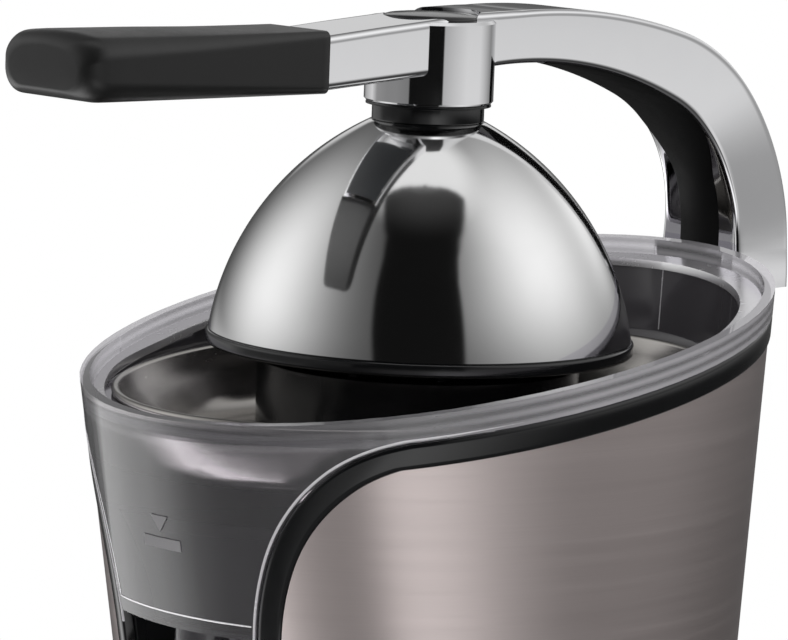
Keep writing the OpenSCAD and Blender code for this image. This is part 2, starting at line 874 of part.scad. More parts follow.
// Rear hinge: a tongue on the bracket stands between the two ears of the leg
module hinge_bracket() {
    gap = 0.7;
    crest_z = press_z + rim_lift + tilt * back_y(ref_z, 0);
    color("#232426") difference() {
        union() {
            side_plate(tongue_half_w) polygon([
                [back_y(pad_z0, -gap), pad_z0],
                [back_y(pad_z0, -gap) + 5, pad_z0],
                [pin_y + 2, pin_z - 34],
                [pin_y + tongue_r - 1, pin_z - 6],
                [pin_y + tongue_r, pin_z],
                [pin_y - tongue_r, pin_z],
                [back_y(crest_z, -gap) + 1, pin_z - 8],
                [back_y(pad_z1, -gap), pad_z1 + 6]]);
            translate([-tongue_half_w, pin_y, pin_z])
                rotate([0, 90, 0]) cylinder(r = tongue_r, h = 2 * tongue_half_w);
            intersection() {
                block(pad_half_w, back_y(pad_z0, 12), arm_back, pad_z0, pad_z1);
                difference() {
                    body_core(pad_z0 - 5, pad_z1 + 5, -gap - 1);
                    body_core(pad_z0 - 6, pad_z1 + 6, chassis_inset - 0.05);
                }
            }
        }
        translate([-far / 2, pin_y, pin_z])
            rotate([0, 90, 0]) cylinder(r = pin_r + run_fit, h = far);
        for (z = [pad_z0 + 8, pad_z1 - 8])
            translate([0, back_y(z, 20), z])
                rotate([-90, 0, 0]) cylinder(r = 2.1, h = 60);
        for (z = [pad_z0 + 8, pad_z1 - 8])
            translate([0, back_y(z, -3), z])
                rotate([-90, 0, 0]) cylinder(r = 4.2, h = 60);
    }
}

module bracket_screws() {
    color("#b9bcc0") for (z = [pad_z0 + 8, pad_z1 - 8])
        translate([0, 0, z]) rotate([-90, 0, 0]) {
            translate([0, 0, back_y(z, 10)]) cylinder(r = 2, h = 14);
            translate([0, 0, back_y(z, -3)]) cylinder(r = 3.8, h = 2.4);
        }
}

module hinge_pin() {
    color("#cfd2d4") translate([-leg_half_w + 1, pin_y, pin_z])
        rotate([0, 90, 0]) cylinder(r = pin_r, h = 2 * leg_half_w - 2);
}

// Centre of the crown arc that runs tangentially into the corner arc of the arch
function crown_centre(corner, corner_r, crown_r, top) =
    let (z = top - crown_r)
    [corner[0] - sqrt(pow(crown_r - corner_r, 2) - pow(corner[1] - z, 2)), z];

tang_half_w = 6;
tang_len = 60;
tang_t = 6.4;
neck_drop = 2.1;
neck_low = arm_top - grip_drop + 1;
neck_t = 14.4;
neck_top = neck_low + neck_t;
tang_low = neck_low + (neck_t - tang_t) / 2 - 1;
tang_high = tang_low + tang_t;

// Side outline of the arm: neck, arch and leg, with the fall of the crown arcs towards the corners
module arm_outline() {
    out_fall = 5.9;
    in_fall = 9.2;
    crest = arm_top - 0.4;
    out_c = [arm_back - arch_out_r, crest - arch_out_r - out_fall];
    in_c = [arm_back - leg_t - arch_in_r, arm_under - arch_in_r - in_fall];
    out_crown = crown_centre(out_c, arch_out_r, crown_out_r, crest);
    in_crown = crown_centre(in_c, arch_in_r, crown_in_r, arm_under);
    out_a = atan2(out_c[1] - out_crown[1], out_c[0] - out_crown[0]);
    in_a = atan2(in_c[1] - in_crown[1], in_c[0] - in_crown[0]);
    polygon(concat(
        [[-grip_start, neck_low], [-grip_start, neck_top], [-10, arm_top - neck_drop], [4, arm_top - 0.9]],
        arc(out_crown, crown_out_r, 95, out_a, 10),
        arc(out_c, arch_out_r, out_a, 0, 12),
        [[arm_back, pin_z - ear_r]],
        arc([pin_y, pin_z], ear_r, 270, 180, 8),
        arc(in_c, arch_in_r, 0, in_a, 12),
        arc(in_crown, crown_in_r, in_a, 95, 10)));
}

// Outline from behind: slim at the top, spreading into the leg
module arm_spread() {
    spread_r = 90;
    low = press_z + 22;
    turn = acos(1 - (leg_half_w - arm_half_w) / spread_r / 2);
    edge = concat(
        [[leg_half_w, 0], [leg_half_w, low]],
        arc([leg_half_w - spread_r, low], spread_r, 0, turn, 5),
        arc([arm_half_w + spread_r, low + 2 * spread_r * sin(turn)], spread_r, 180 + turn, 180, 5),
        [[arm_half_w, far]]);
    polygon(concat(edge, [for (i = [len(edge) - 1:-1:0]) [-edge[i][0], edge[i][1]]]));
}

module arm_casting() {
    color("#c8c8c9") difference() {
        union() {
            intersection() {
                side_plate(leg_half_w + 5) arm_outline();
                translate([0, arm_back + 5, 0]) rotate([90, 0, 0]) linear_extrude(far) arm_spread();
            }
            rod(hub_r, hub_z, hub_z + hub_h);
            block(tang_half_w, -grip_start - tang_len, -grip_start + 1, tang_low, tang_high);
        }
        block(tongue_half_w + side_fit, arm_back - leg_t - 5, arm_back + 5, pin_z - 30, slot_top);
        translate([-far / 2, pin_y, pin_z]) rotate([0, 90, 0]) cylinder(r = pin_r, h = far);
        rod(4, hub_z - 1, hub_z + 16);
        rod(cap_r + 0.1, cap_low, arm_top + 5);
    }
}

// Round cap let into the top of the hub
cap_r = 13.2;
cap_low = hub_z + hub_h - 2;
cap_top = arm_top - 1;

module top_insert() {
    crown_r = 90;
    color("#161718") intersection() {
        rod(cap_r, cap_low, cap_top);
        at_z(cap_top - crown_r) sphere(crown_r, $fn = 180);
    }
}

// Soft grip, drawn over the tang: it widens and rises towards its free end, whose corners are rounded
module handle_grip() {
    root_half_w = 12.6;
    root_r = 2.2;
    tip_r = 4;
    corner = 5;
    lap = 6;
    low = arm_top - grip_drop;
    // Half width, place in front of the axis, rise and edge radius: root, sides and front of the free end
    stations = [[root_half_w, grip_start - lap, 0, root_r],
        [grip_half_w, grip_end - corner, grip_rise, tip_r],
        [grip_half_w - corner, grip_end, grip_rise, tip_r]];
    color("#232325") difference() {
        hull() for (s = [-1, 1], p = stations, top = [0, 1])
            translate([s * (p[0] - p[3]), p[3] - p[1], low + p[2] + p[3] + top * (grip_t - 2 * p[3])])
                sphere(p[3], $fn = 32);
        block(far, -grip_start - 0.1, far, 0, far);
        block(tang_half_w + 0.1, -grip_start - tang_len - 0.2, far, tang_low - 0.1, tang_high + 0.1);
    }
}

// Ring-shaped part of the dome profile between two drawn-in arcs
module dome_band(outer_inset, inner_inset, z0, z1) {
    rotate_extrude() intersection() {
        translate(dome_centre) difference() {
            circle(dome_arc_r - outer_inset, $fn = 180);
            circle(dome_arc_r - inner_inset, $fn = 180);
        }
        translate([0, z0]) square([lip_r, z1 - z0]);
    }
}

module press_cup() {
    cup_gap = 0.2;
    inner = dome_t + cup_gap + cup_wall;
    cap_t = 5;
    color("#18191a") at_z(press_z) difference() {
        union() {
            dome_band(dome_t + cup_gap, inner, lip_h / 2, dome_h - 1);
            rotate_extrude() difference() {
                square([lip_r, lip_h]);
                square([lip_r - 6, lip_h]);
            }
            rod(dome_hole_r - cup_gap, dome_h - cap_t, dome_h + 1);
            rod(collar_r, dome_h, dome_h + collar_h);
        }
        rod(4.1, 0, dome_h + collar_h + 1);
    }
}

module dome_shell() {
    color("#d4d4d5") at_z(press_z) dome_band(0, dome_t, lip_h, dome_h);
}

module dome_bolt() {
    color("#b9bcc0") at_z(press_z) {
        rod(4, dome_h - 6, dome_h + collar_h + 15);
        rod(7.5, dome_h - 9, dome_h - 5);
    }
}

// Pouring spout: an open channel that tilts about its pin to stop the drip
module drip_spout() {
    wall = 1.6;
    depth = 6;
    color("#c9cacc") translate([0, spout_pin_y, spout_pin_z]) rotate([spout_slope, 0, 0]) difference() {
        union() {
            block(spout_half_w, -spout_len, 5, -depth / 2, depth / 2);
            translate([-spout_half_w, 0, 0]) rotate([0, 90, 0]) cylinder(r = 3.5, h = 2 * spout_half_w);
        }
        block(spout_half_w - wall, -spout_len - 1, 3.4, -depth / 2 + wall, depth);
        translate([-far / 2, 0, 0]) rotate([0, 90, 0]) cylinder(r = spout_pin_r + run_fit, h = far);
    }
}

module spout_pin() {
    half = spout_half_w + 1.5 + 2.5;
    color("#cfd2d4") translate([-half, spout_pin_y, spout_pin_z])
        rotate([0, 90, 0]) cylinder(r = spout_pin_r, h = 2 * half);
}

base_plate();
rubber_feet();
base_screws();
chassis();
bay_liner();
steel_shell();
panel_trim();
juice_bowl();
strainer_dish();
strainer_screen();
reamer_cone();
drive_shaft();
shaft_seal();
upper_bush();
lower_bush();
output_gear();
counter_gear();
counter_axle();
motor_can();
motor_shaft();
motor_pinion();
gearbox_housing();
gearbox_cover();
gearbox_screws();
switch_body();
switch_plunger();
cord_gland();
hinge_bracket();
bracket_screws();
hinge_pin();
arm_casting();
top_insert();
handle_grip();
press_cup();
dome_shell();
dome_bolt();
drip_spout();
spout_pin();
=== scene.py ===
from math import acos, atan2, cos, degrees, exp, hypot, pi, radians, sin, sqrt, tan

import bmesh
import bpy
from mathutils import Matrix, Vector


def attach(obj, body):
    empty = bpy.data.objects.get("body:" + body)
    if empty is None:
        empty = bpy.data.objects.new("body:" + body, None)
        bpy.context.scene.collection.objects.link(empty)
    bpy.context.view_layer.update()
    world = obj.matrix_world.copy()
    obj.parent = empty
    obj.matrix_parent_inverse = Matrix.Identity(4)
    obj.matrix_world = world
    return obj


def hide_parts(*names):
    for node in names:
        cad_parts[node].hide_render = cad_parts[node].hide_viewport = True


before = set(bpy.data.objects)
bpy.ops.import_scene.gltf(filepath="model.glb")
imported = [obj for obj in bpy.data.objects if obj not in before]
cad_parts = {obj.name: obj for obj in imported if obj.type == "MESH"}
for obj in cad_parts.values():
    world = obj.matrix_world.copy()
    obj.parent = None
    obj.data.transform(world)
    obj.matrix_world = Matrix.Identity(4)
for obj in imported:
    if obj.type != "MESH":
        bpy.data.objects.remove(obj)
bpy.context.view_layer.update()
scene = bpy.context.scene
MM = 0.001

# Sizes of the press in millimetres, as in the part's source: dome's axis at x = y = 0, front towards -y
PRESS_Z = 240
DECK_Z = 18
BODY_HALF_W, BODY_FRONT, BODY_BACK, BODY_CY = 84.3, 108.4, 104.2, 4.8
SIDE_TAPER, FRONT_RAKE = tan(radians(3)), tan(radians(11.3))
TILT = tan(radians(9))
RIM_LIFT = 5
REF_Z = PRESS_Z + RIM_LIFT + BODY_CY * TILT
BAND_H, TRIM_H, TRIM_W, TRIM_T = 7.2, 7.2, 6, 3.2
SHEET_INSET, SHEET_T, SHEET_OVERLAP = 0.6, 1, 0.2
MOUTH_HALF_W, FLARE_Z = 26.6, 168
# Edge of the front opening: heading at the flare's start, then the radius and the turn of each bend
START_HEADING = 86
BENDS = [(96, 16), (66, 25), (39, 25), (63, 11)]

# Photograph's camera: 45 degrees round from the front, 8 degrees down, rolled 2 degrees, with a long lens
CAMERA_TURNS = (45.0025, 8.096, 2.141)
CAMERA_AT = (0.95938, -0.96941, 0.44094)
PHOTO_W, FOCAL_PIXELS, SENSOR_W = 788, 5005.353, 36


def photo_camera():
    around, down, roll = (radians(turn) for turn in CAMERA_TURNS)
    forward = Vector((-sin(around) * cos(down), cos(around) * cos(down), -sin(down)))
    right = Vector((cos(around), sin(around), 0))
    up = right.cross(forward)
    level_right = right * cos(roll) + up * sin(roll)
    level_up = up * cos(roll) - right * sin(roll)
    data = bpy.data.cameras.new("photo_camera")
    data.sensor_fit = "HORIZONTAL"
    data.sensor_width = SENSOR_W
    data.lens = FOCAL_PIXELS / PHOTO_W * SENSOR_W
    data.clip_end = 50
    camera = bpy.data.objects.new("photo_camera", data)
    axes = Matrix((level_right, level_up, -forward)).transposed().to_4x4()
    camera.matrix_world = Matrix.Translation(CAMERA_AT) @ axes
    scene.collection.objects.link(camera)
    scene.camera = camera


photo_camera()


# Adds a node with its settings, and links or sets its inputs
def add(tree, kind, inputs=None, **settings):
    node = tree.nodes.new(kind)
    for key, value in settings.items():
        setattr(node, key, value)
    for key, value in (inputs or {}).items():
        if isinstance(value, bpy.types.NodeSocket):
            tree.links.new(value, node.inputs[key])
        else:
            node.inputs[key].default_value = value
    return node


def linear(hex_colour):
    parts = [int(hex_colour[i:i + 2], 16) / 255 for i in (1, 3, 5)]
    return [c / 12.92 if c <= 0.04045 else ((c + 0.055) / 1.055) ** 2.4 for c in parts] + [1]


# Clouds over the grain: their scale beside the grain's, and a base that keeps the two together above zero.
# WEAR is the part of their range over which the roughness changes
CLOUD_SCALE, CLOUD_BASE, WEAR, GRAIN_STRENGTH = 0.12, 0.2, (0.25, 0.7), 0.6
# Colour inputs and output of a mix node go by number, because its names repeat for each type of data
FIRST_COLOUR, SECOND_COLOUR, MIXED_COLOUR = 6, 7, 2


# A finish from its two colours, the size of its grain in mm, its roughness and the height of its grain in mm
def finish(name, light, dark, grain, rough, height, stretch=(1, 1, 1), tangent=False, **sockets):
    material = bpy.data.materials.new(name)
    material.use_nodes = True
    tree = material.node_tree
    shader = tree.nodes["Principled BSDF"]
    place = add(tree, "ShaderNodeTexCoord").outputs["Object"]
    drawn = add(tree, "ShaderNodeMapping", {"Vector": place, "Scale": stretch}).outputs["Vector"]
    fine, broad = (add(tree, "ShaderNodeTexNoise",
                       {"Vector": drawn, "Scale": scale / (grain * MM), "Detail": detail})
                   for scale, detail in ((1, 5.0), (CLOUD_SCALE, 3.0)))
    both = add(tree, "ShaderNodeMath", {0: fine.outputs["Fac"], 1: broad.outputs["Fac"], 2: CLOUD_BASE},
               operation="MULTIPLY_ADD").outputs[0]
    colours = {FIRST_COLOUR: linear(dark), SECOND_COLOUR: linear(light)}
    tint = add(tree, "ShaderNodeMix", {"Factor": both, **colours}, data_type="RGBA")
    wear = add(tree, "ShaderNodeMapRange", {"Value": both, "From Min": WEAR[0], "From Max": WEAR[1],
                                            "To Min": rough[0], "To Max": rough[1]})
    bump = add(tree, "ShaderNodeBump", {"Height": fine.outputs["Fac"], "Strength": GRAIN_STRENGTH,
                                        "Distance": height * MM})
    tree.links.new(tint.outputs[MIXED_COLOUR], shader.inputs["Base Color"])
    tree.links.new(wear.outputs["Result"], shader.inputs["Roughness"])
    tree.links.new(bump.outputs["Normal"], shader.inputs["Normal"])
    if tangent:
        ring = add(tree, "ShaderNodeTangent", direction_type="RADIAL", axis="Z")
        tree.links.new(ring.outputs["Tangent"], shader.inputs["Tangent"])
    for key, value in sockets.items():
        shader.inputs[key.replace("_", " ")].default_value = value
    return material


# Lamps and reflections reach what stands behind a clear wall, dimmed by its tint
def passes_light(material, tint):
    tree = material.node_tree
    rays = add(tree, "ShaderNodeLightPath").outputs
    lit = add(tree, "ShaderNodeMath", {0: rays["Is Shadow Ray"], 1: rays["Is Diffuse Ray"]},
              operation="MAXIMUM")
    passed = add(tree, "ShaderNodeMath", {0: lit.outputs[0], 1: rays["Is Glossy Ray"]}, operation="MAXIMUM")
    clear = add(tree, "ShaderNodeBsdfTransparent", {"Color": linear(tint)})
    tinted = tree.nodes["Principled BSDF"].outputs["BSDF"]
    wall = add(tree, "ShaderNodeMixShader", {0: passed.outputs[0], 1: tinted, 2: clear.outputs["BSDF"]})
    tree.links.new(wall.outputs["Shader"], tree.nodes["Material Output"].inputs["Surface"])


# Painted highlight streaks under the sloped rim in mm: how deep they reach, over what they fade and their
# pitch.
# In front they keep only a share of their haze, which grows from FAINT_Y to FULL_Y
CLEAR, PAINTED_STREAK_HAZE = 0.9, (0.22, 0.6)
STREAK_DEPTH, STREAK_FADE, STREAK_PITCH = 7, 1, 2.9
FAINT_Y, FULL_Y, FRONT_SHARE = -75, -20, 0.2


# Painted highlight: the clear wall is made less clear in streaks along the sloped rim, so that they show pale
# like light gathered in its upper edge
def painted_rim_streaks(material):
    tree = material.node_tree
    place = add(tree, "ShaderNodeSeparateXYZ", {0: add(tree, "ShaderNodeTexCoord").outputs["Object"]}).outputs
    level = add(tree, "ShaderNodeMath", {0: place["Y"], 1: -TILT, 2: place["Z"]},
                operation="MULTIPLY_ADD").outputs[0]
    low = PRESS_Z + RIM_LIFT - STREAK_DEPTH
    edge = add(tree, "ShaderNodeMapRange", {"Value": level, "From Min": (low - STREAK_FADE) * MM,
                                            "From Max": low * MM}).outputs["Result"]
    wave = add(tree, "ShaderNodeMath", {0: level, 1: 2 * pi / (STREAK_PITCH * MM)},
               operation="MULTIPLY").outputs[0]
    streak = add(tree, "ShaderNodeMath", {0: wave}, operation="SINE").outputs[0]
    painted_haze = add(tree, "ShaderNodeMapRange", {"Value": streak, "From Min": -1.0, "To Min": PAINTED_STREAK_HAZE[0],
                                            "To Max": PAINTED_STREAK_HAZE[1]}).outputs["Result"]
    back = add(tree, "ShaderNodeMapRange", {"Value": place["Y"], "From Min": FAINT_Y * MM,
                                            "From Max": FULL_Y * MM, "To Min": FRONT_SHARE}).outputs["Result"]
    pale = add(tree, "ShaderNodeMath", {0: edge, 1: back}, operation="MULTIPLY").outputs[0]
    share = add(tree, "ShaderNodeMath", {0: pale, 1: painted_haze}, operation="MULTIPLY").outputs[0]
    clear = add(tree, "ShaderNodeMath", {0: CLEAR, 1: share}, operation="SUBTRACT").outputs[0]
    tree.links.new(clear, tree.nodes["Principled BSDF"].inputs["Transmission Weight"])


# Stainless sheet brushed round the body: warm grey, long fine level streaks, light drawn out upright.
# The real streaks are near 0.1 mm wide and are drawn at 0.35 mm to show
brushed_sheet = finish("stainless_sheet_brushed", "#ede1df", "#dfd2d0", 0.35, (0.3, 0.36), 0.002,
                       stretch=(0.012, 0.012, 1), tangent=True, Metallic=1.0, Anisotropic=0.8,
                       Anisotropic_Rotation=0.25)
# Stainless sheet pressed and polished: a mirror with a breath of haze
polished_dome = finish("stainless_sheet_polished", "#f2f2f2", "#eaeaea", 6, (0.07, 0.1), 0.0005, Metallic=1.0)
# Zinc die casting, bright chrome plated: a pale grey mirror with the faintest waviness
chromed_casting = finish("zinc_casting_bright_chrome", "#f2f2f3", "#eaeaec", 9, (0.03, 0.06), 0.001,
                         Metallic=1.0)
# Drawn stainless sheet, tumbled: warm grey, reflections blurred by fine scuffs
drawn_sheet = finish("stainless_sheet_drawn", "#b7b4b1", "#a19e9a", 0.8, (0.2, 0.28), 0.002,
                     stretch=(0.25, 0.25, 1), Metallic=1.0)
# Styrene moulded clear with a smoky tint: sharp edge lights, faint flow marks, and painted highlight streaks
# along the rim
smoky_styrene = finish("styrene_moulded_smoky_clear", "#bab8bc", "#b2b0b4", 12, (0.02, 0.04), 0.0003,
                       IOR=1.55, Transmission_Weight=CLEAR)
# Painted highlight streaks along the rim's upper edge
painted_rim_streaks(smoky_styrene)
passes_light(smoky_styrene, "#f4f3f6")
# Styrene struck with an etched tool: frosted, paler than the clear wall around it
etched_styrene = finish("styrene_moulded_etched", "#8b898c", "#7f7d80", 0.5, (0.4, 0.5), 0.01, IOR=1.55,
                        Transmission_Weight=0.4)
# Painted highlight: pale styrene for an edge where light gathers, a softly shining line
highlight_styrene = finish("styrene_edge_painted_highlight", "#dcdadd", "#d0ced2", 1, (0.2, 0.3), 0.001, IOR=1.55,
                      Transmission_Weight=0.25)
# Styrene moulded clear over a matt tool: hazy, so that edges and ledges show pale
hazy_styrene = finish("styrene_moulded_hazy_clear", "#a6a4a7", "#9a989b", 2, (0.2, 0.3), 0.002, IOR=1.55,
                      Transmission_Weight=0.55)
passes_light(hazy_styrene, "#c9c8ca")
# Painted shade: charcoal styrene with the gloss of the clear wall, for the shade in the well below the bowl's
# ring
well_shade_styrene = finish("styrene_painted_well_shade", "#4a484b", "#3e3c3f", 14, (0.06, 0.1), 0.0004, IOR=1.55)
# ABS moulded and polished: deep black with clean reflections
gloss_black = finish("abs_moulded_gloss_black", "#121314", "#0a0a0b", 3, (0.1, 0.16), 0.001, IOR=1.53)
# ABS moulded in a fine eroded tool: black, dull sheen, fine grain
satin_black = finish("abs_moulded_satin_black", "#1b1c1d", "#121314", 0.6, (0.36, 0.5), 0.008, IOR=1.53)
# Painted shade: ABS in a dull black that gives back hardly any light, standing in for the shade inside a deep
# groove
groove_shade_black = finish("abs_painted_groove_shade", "#0e0e0f", "#080808", 0.6, (0.5, 0.65), 0.006, IOR=1.53,
                    Specular_IOR_Level=0.15)
# Thermoplastic rubber moulded over the tang: soft charcoal sheen, fine matt grain
soft_rubber = finish("rubber_overmoulded_charcoal", "#161616", "#101010", 0.5, (0.33, 0.43), 0.01, IOR=1.5,
                     Sheen_Weight=0.04, Sheen_Roughness=0.35)
# Solid rubber moulded: dead matt black with a dusty grain
foot_rubber = finish("rubber_moulded_black", "#1a1a1a", "#101010", 0.7, (0.6, 0.75), 0.015, IOR=1.5)
# Steel wire turned and zinc plated: cool grey with turning marks
plated_steel = finish("steel_turned_zinc_plated", "#c2c5c8", "#999ca0", 0.4, (0.25, 0.4), 0.004, Metallic=1.0)
# Steel rod ground: bright with fine rings
ground_steel = finish("steel_rod_ground", "#d2d3d5", "#b4b6b8", 0.3, (0.15, 0.25), 0.002,
                      stretch=(0.2, 0.2, 1), Metallic=1.0)
# Bronze sintered: dull gold brown with open pores
sintered_bronze = finish("bronze_sintered", "#b08d57", "#80643a", 0.5, (0.4, 0.6), 0.02, Metallic=1.0)
# Brass hobbed: yellow metal with cutter marks
hobbed_brass = finish("brass_hobbed", "#c9a14e", "#a07d38", 0.4, (0.25, 0.4), 0.005, Metallic=1.0)
# Acetal moulded: ivory white, waxy
waxy_acetal = finish("acetal_moulded_ivory", "#ddd8c8", "#cdc7b4", 1.2, (0.35, 0.45), 0.004, IOR=1.48)
# Steel drawn into a can and zinc plated: grey with draw lines
drawn_can = finish("steel_can_drawn", "#9a9ea2", "#777b80", 0.8, (0.3, 0.45), 0.006,
                   stretch=(1, 1, 0.1), Metallic=1.0)
# Glass-filled nylon moulded: dark grey with a mottled skin
filled_nylon = finish("nylon_glass_filled_grey", "#3c3f42", "#2c2e31", 0.9, (0.5, 0.65), 0.012, IOR=1.53)
# Polyester moulded red: clean colour with a soft moulded sheen
red_polyester = finish("polyester_moulded_red", "#b3372f", "#8d2a24", 1, (0.35, 0.45), 0.004, IOR=1.57)

CAD_FINISHES = {
    "base_plate": satin_black, "rubber_feet": foot_rubber, "base_screws": plated_steel,
    "chassis": satin_black, "bay_liner": satin_black, "juice_bowl": smoky_styrene,
    "strainer_screen": drawn_sheet, "reamer_cone": gloss_black, "drive_shaft": ground_steel,
    "shaft_seal": foot_rubber, "upper_bush": sintered_bronze, "lower_bush": sintered_bronze,
    "output_gear": waxy_acetal, "counter_gear": waxy_acetal, "counter_axle": ground_steel,
    "motor_can": drawn_can, "motor_shaft": ground_steel, "motor_pinion": hobbed_brass,
    "gearbox_housing": filled_nylon, "gearbox_cover": filled_nylon, "gearbox_screws": plated_steel,
    "switch_body": satin_black, "switch_plunger": red_polyester, "cord_gland": foot_rubber,
    "hinge_bracket": satin_black, "bracket_screws": plated_steel, "hinge_pin": ground_steel,
    "dome_bolt": plated_steel, "drip_spout": drawn_sheet, "spout_pin": ground_steel,
}
CAD_CREASE, SCENE_WELD = 28, 1e-6


# Smooth shading up to a crease angle, as a modifier, so that the solid's own mesh stays as it is
def smooth_by_angle(limit):
    group = bpy.data.node_groups.new("smooth_by_angle", "GeometryNodeTree")
    group.is_modifier = True
    group.interface.new_socket("Geometry", in_out="INPUT", socket_type="NodeSocketGeometry")
    group.interface.new_socket("Geometry", in_out="OUTPUT", socket_type="NodeSocketGeometry")
    came = add(group, "NodeGroupInput").outputs[0]
    welded = add(group, "GeometryNodeMergeByDistance", {"Geometry": came, "Distance": SCENE_WELD})
    soft = add(group, "GeometryNodeSetShadeSmooth", {"Geometry": welded.outputs[0]}, domain="FACE")
    angle = add(group, "GeometryNodeInputMeshEdgeAngle").outputs["Unsigned Angle"]
    sharp = add(group, "FunctionNodeCompare", {"A": angle, "B": radians(limit)}, operation="GREATER_THAN")
    crease = add(group, "GeometryNodeSetShadeSmooth",
                 {"Geometry": soft.outputs[0], "Selection": sharp.outputs[0], "Shade Smooth": False},
                 domain="EDGE")
    add(group, "NodeGroupOutput", {0: crease.outputs[0]})
    return group


crease_group = smooth_by_angle(CAD_CREASE)
for node_name, material in CAD_FINISHES.items():
    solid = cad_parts[node_name]
    solid.data.materials.clear()
    solid.data.materials.append(material)
    solid.modifiers.new("smooth", "NODES").node_group = crease_group


# Points in mm and their faces as a mesh
def raw_mesh(name, points, faces):
    mesh = bpy.data.meshes.new(name)
    mesh.from_pydata([Vector(p) * MM for p in points], [], faces)
    return mesh


def shade_smooth(mesh, crease):
    for face in mesh.polygons:
        face.use_smooth = True
    mesh.set_sharp_from_angle(angle=radians(crease))


# A piece in mm that rides on a body, takes a material and stands for CAD nodes.
# Points within PIECE_WELD of each other are joined, so that no face without area stays
PIECE_WELD = 0.002


def piece(name, points, faces, body, slot, material, stands_for=(), crease=35):
    mesh = raw_mesh(name, points, faces)
    mesh.materials.append(material)
    welded = bmesh.new()
    welded.from_mesh(mesh)
    bmesh.ops.remove_doubles(welded, verts=welded.verts, dist=PIECE_WELD * MM)
    welded.to_mesh(mesh)
    welded.free()
    mesh.validate()
    shade_smooth(mesh, crease)
    made = bpy.data.objects.new(name, mesh)
    scene.collection.objects.link(made)
    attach(made, body)
    if stands_for:
        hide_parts(*stands_for)
    return made


# Skin through a list of closed loops of equal length, with caps or joined end to end
def skin(loops, ring=False):
    count = len(loops[0])
    points = [p for loop in loops for p in loop]
    faces = []
    for k in range(len(loops) if ring else len(loops) - 1):
        low, high = k * count, (k + 1) % len(loops) * count
        faces += [(low + i, low + (i + 1) % count, high + (i + 1) % count, high + i) for i in range(count)]
    if not ring:
        faces.append(tuple(range(count - 1, -1, -1)))
        faces.append(tuple((len(loops) - 1) * count + i for i in range(count)))
    return points, faces


# Closed profile of radius and height, turned about the upright axis
def turned(profile, z, steps=256):
    loops = [[(r * cos(2 * pi * s / steps), r * sin(2 * pi * s / steps), z + h) for r, h in profile]
             for s in range(steps)]
    return skin(loops, ring=True)


def arc(centre, radius, start, end, steps):
    turns = [radians(start + (end - start) * i / steps) for i in range(steps + 1)]
    return [(centre[0] + radius * cos(turn), centre[1] + radius * sin(turn)) for turn in turns]


# Points at even steps along a line of points
def along(points, count):
    reach = [0]
    for a, b in zip(points, points[1:]):
        reach.append(reach[-1] + hypot(b[0] - a[0], b[1] - a[1]))
    made, k = [], 0
    for i in range(count):
        want = reach[-1] * i / (count - 1)
        while k < len(points) - 2 and reach[k + 1] < want:
            k += 1
        f = (want - reach[k]) / max(reach[k + 1] - reach[k], 1e-9)
        made.append(tuple(a + (b - a) * f for a, b in zip(points[k], points[k + 1])))
    return made


# Value from a table of pairs
def between(table, x):
    for (x0, y0), (x1, y1) in zip(table, table[1:]):
        if x <= x1:
            return y0 + (y1 - y0) * (x - x0) / (x1 - x0)
    return table[-1][1]


# Soft step from 0 to 1
def ramp(x, low, high):
    f = min(1, max(0, (x - low) / (high - low)))
    return f * f * (3 - 2 * f)


# Press dome: one arc from the lip to the collar, with a rolled lower edge
DOME_H, LIP_R, LIP_H, DOME_ARC_R, DOME_T = 62.5, 59, 3.6, 79, 1.2
LIP_W, LIP_EDGE_R, CUP_GAP, CUP_WALL = 6, 0.9, 0.2, 2.5
COLLAR_R, COLLAR_H, COLLAR_EDGE_R, BOLT_HOLE_R = 15.4, 5.1, 0.5, 4.1
# Flange on the collar's top: a black ring under the hub, painted shade for the dark gap below it
SHADE_FLANGE_R, SHADE_FLANGE_EDGE_R = 17.2, 0.3
COLLAR_TOP = DOME_H + COLLAR_H
dome_low = (LIP_R - 0.7, LIP_H)
dome_high = (COLLAR_R + 0.4, DOME_H)
chord = (dome_high[0] - dome_low[0], dome_high[1] - dome_low[1])
chord_len = hypot(*chord)
rise = sqrt(DOME_ARC_R ** 2 - chord_len ** 2 / 4)
dome_centre = ((dome_low[0] + dome_high[0]) / 2 - rise * chord[1] / chord_len,
               (dome_low[1] + dome_high[1]) / 2 + rise * chord[0] / chord_len)


def dome_arc(inset, low, high, steps):
    radius = DOME_ARC_R - inset
    heights = [low + (high - low) * i / steps for i in range(steps + 1)]
    return [(dome_centre[0] + sqrt(radius ** 2 - (h - dome_centre[1]) ** 2), h) for h in heights]


dome_out = dome_arc(0, LIP_H + 0.4, DOME_H - 0.1, 90)
dome_in = dome_arc(DOME_T, LIP_H, DOME_H, 40)
profile = ([(dome_out[0][0] - 0.35, LIP_H)] + dome_out + [(dome_out[-1][0] - 0.4, DOME_H)] + dome_in[::-1])
piece("dome_shell_polished", *turned(profile, PRESS_Z), "arm", "dome_steel", polished_dome, ["dome_shell"])
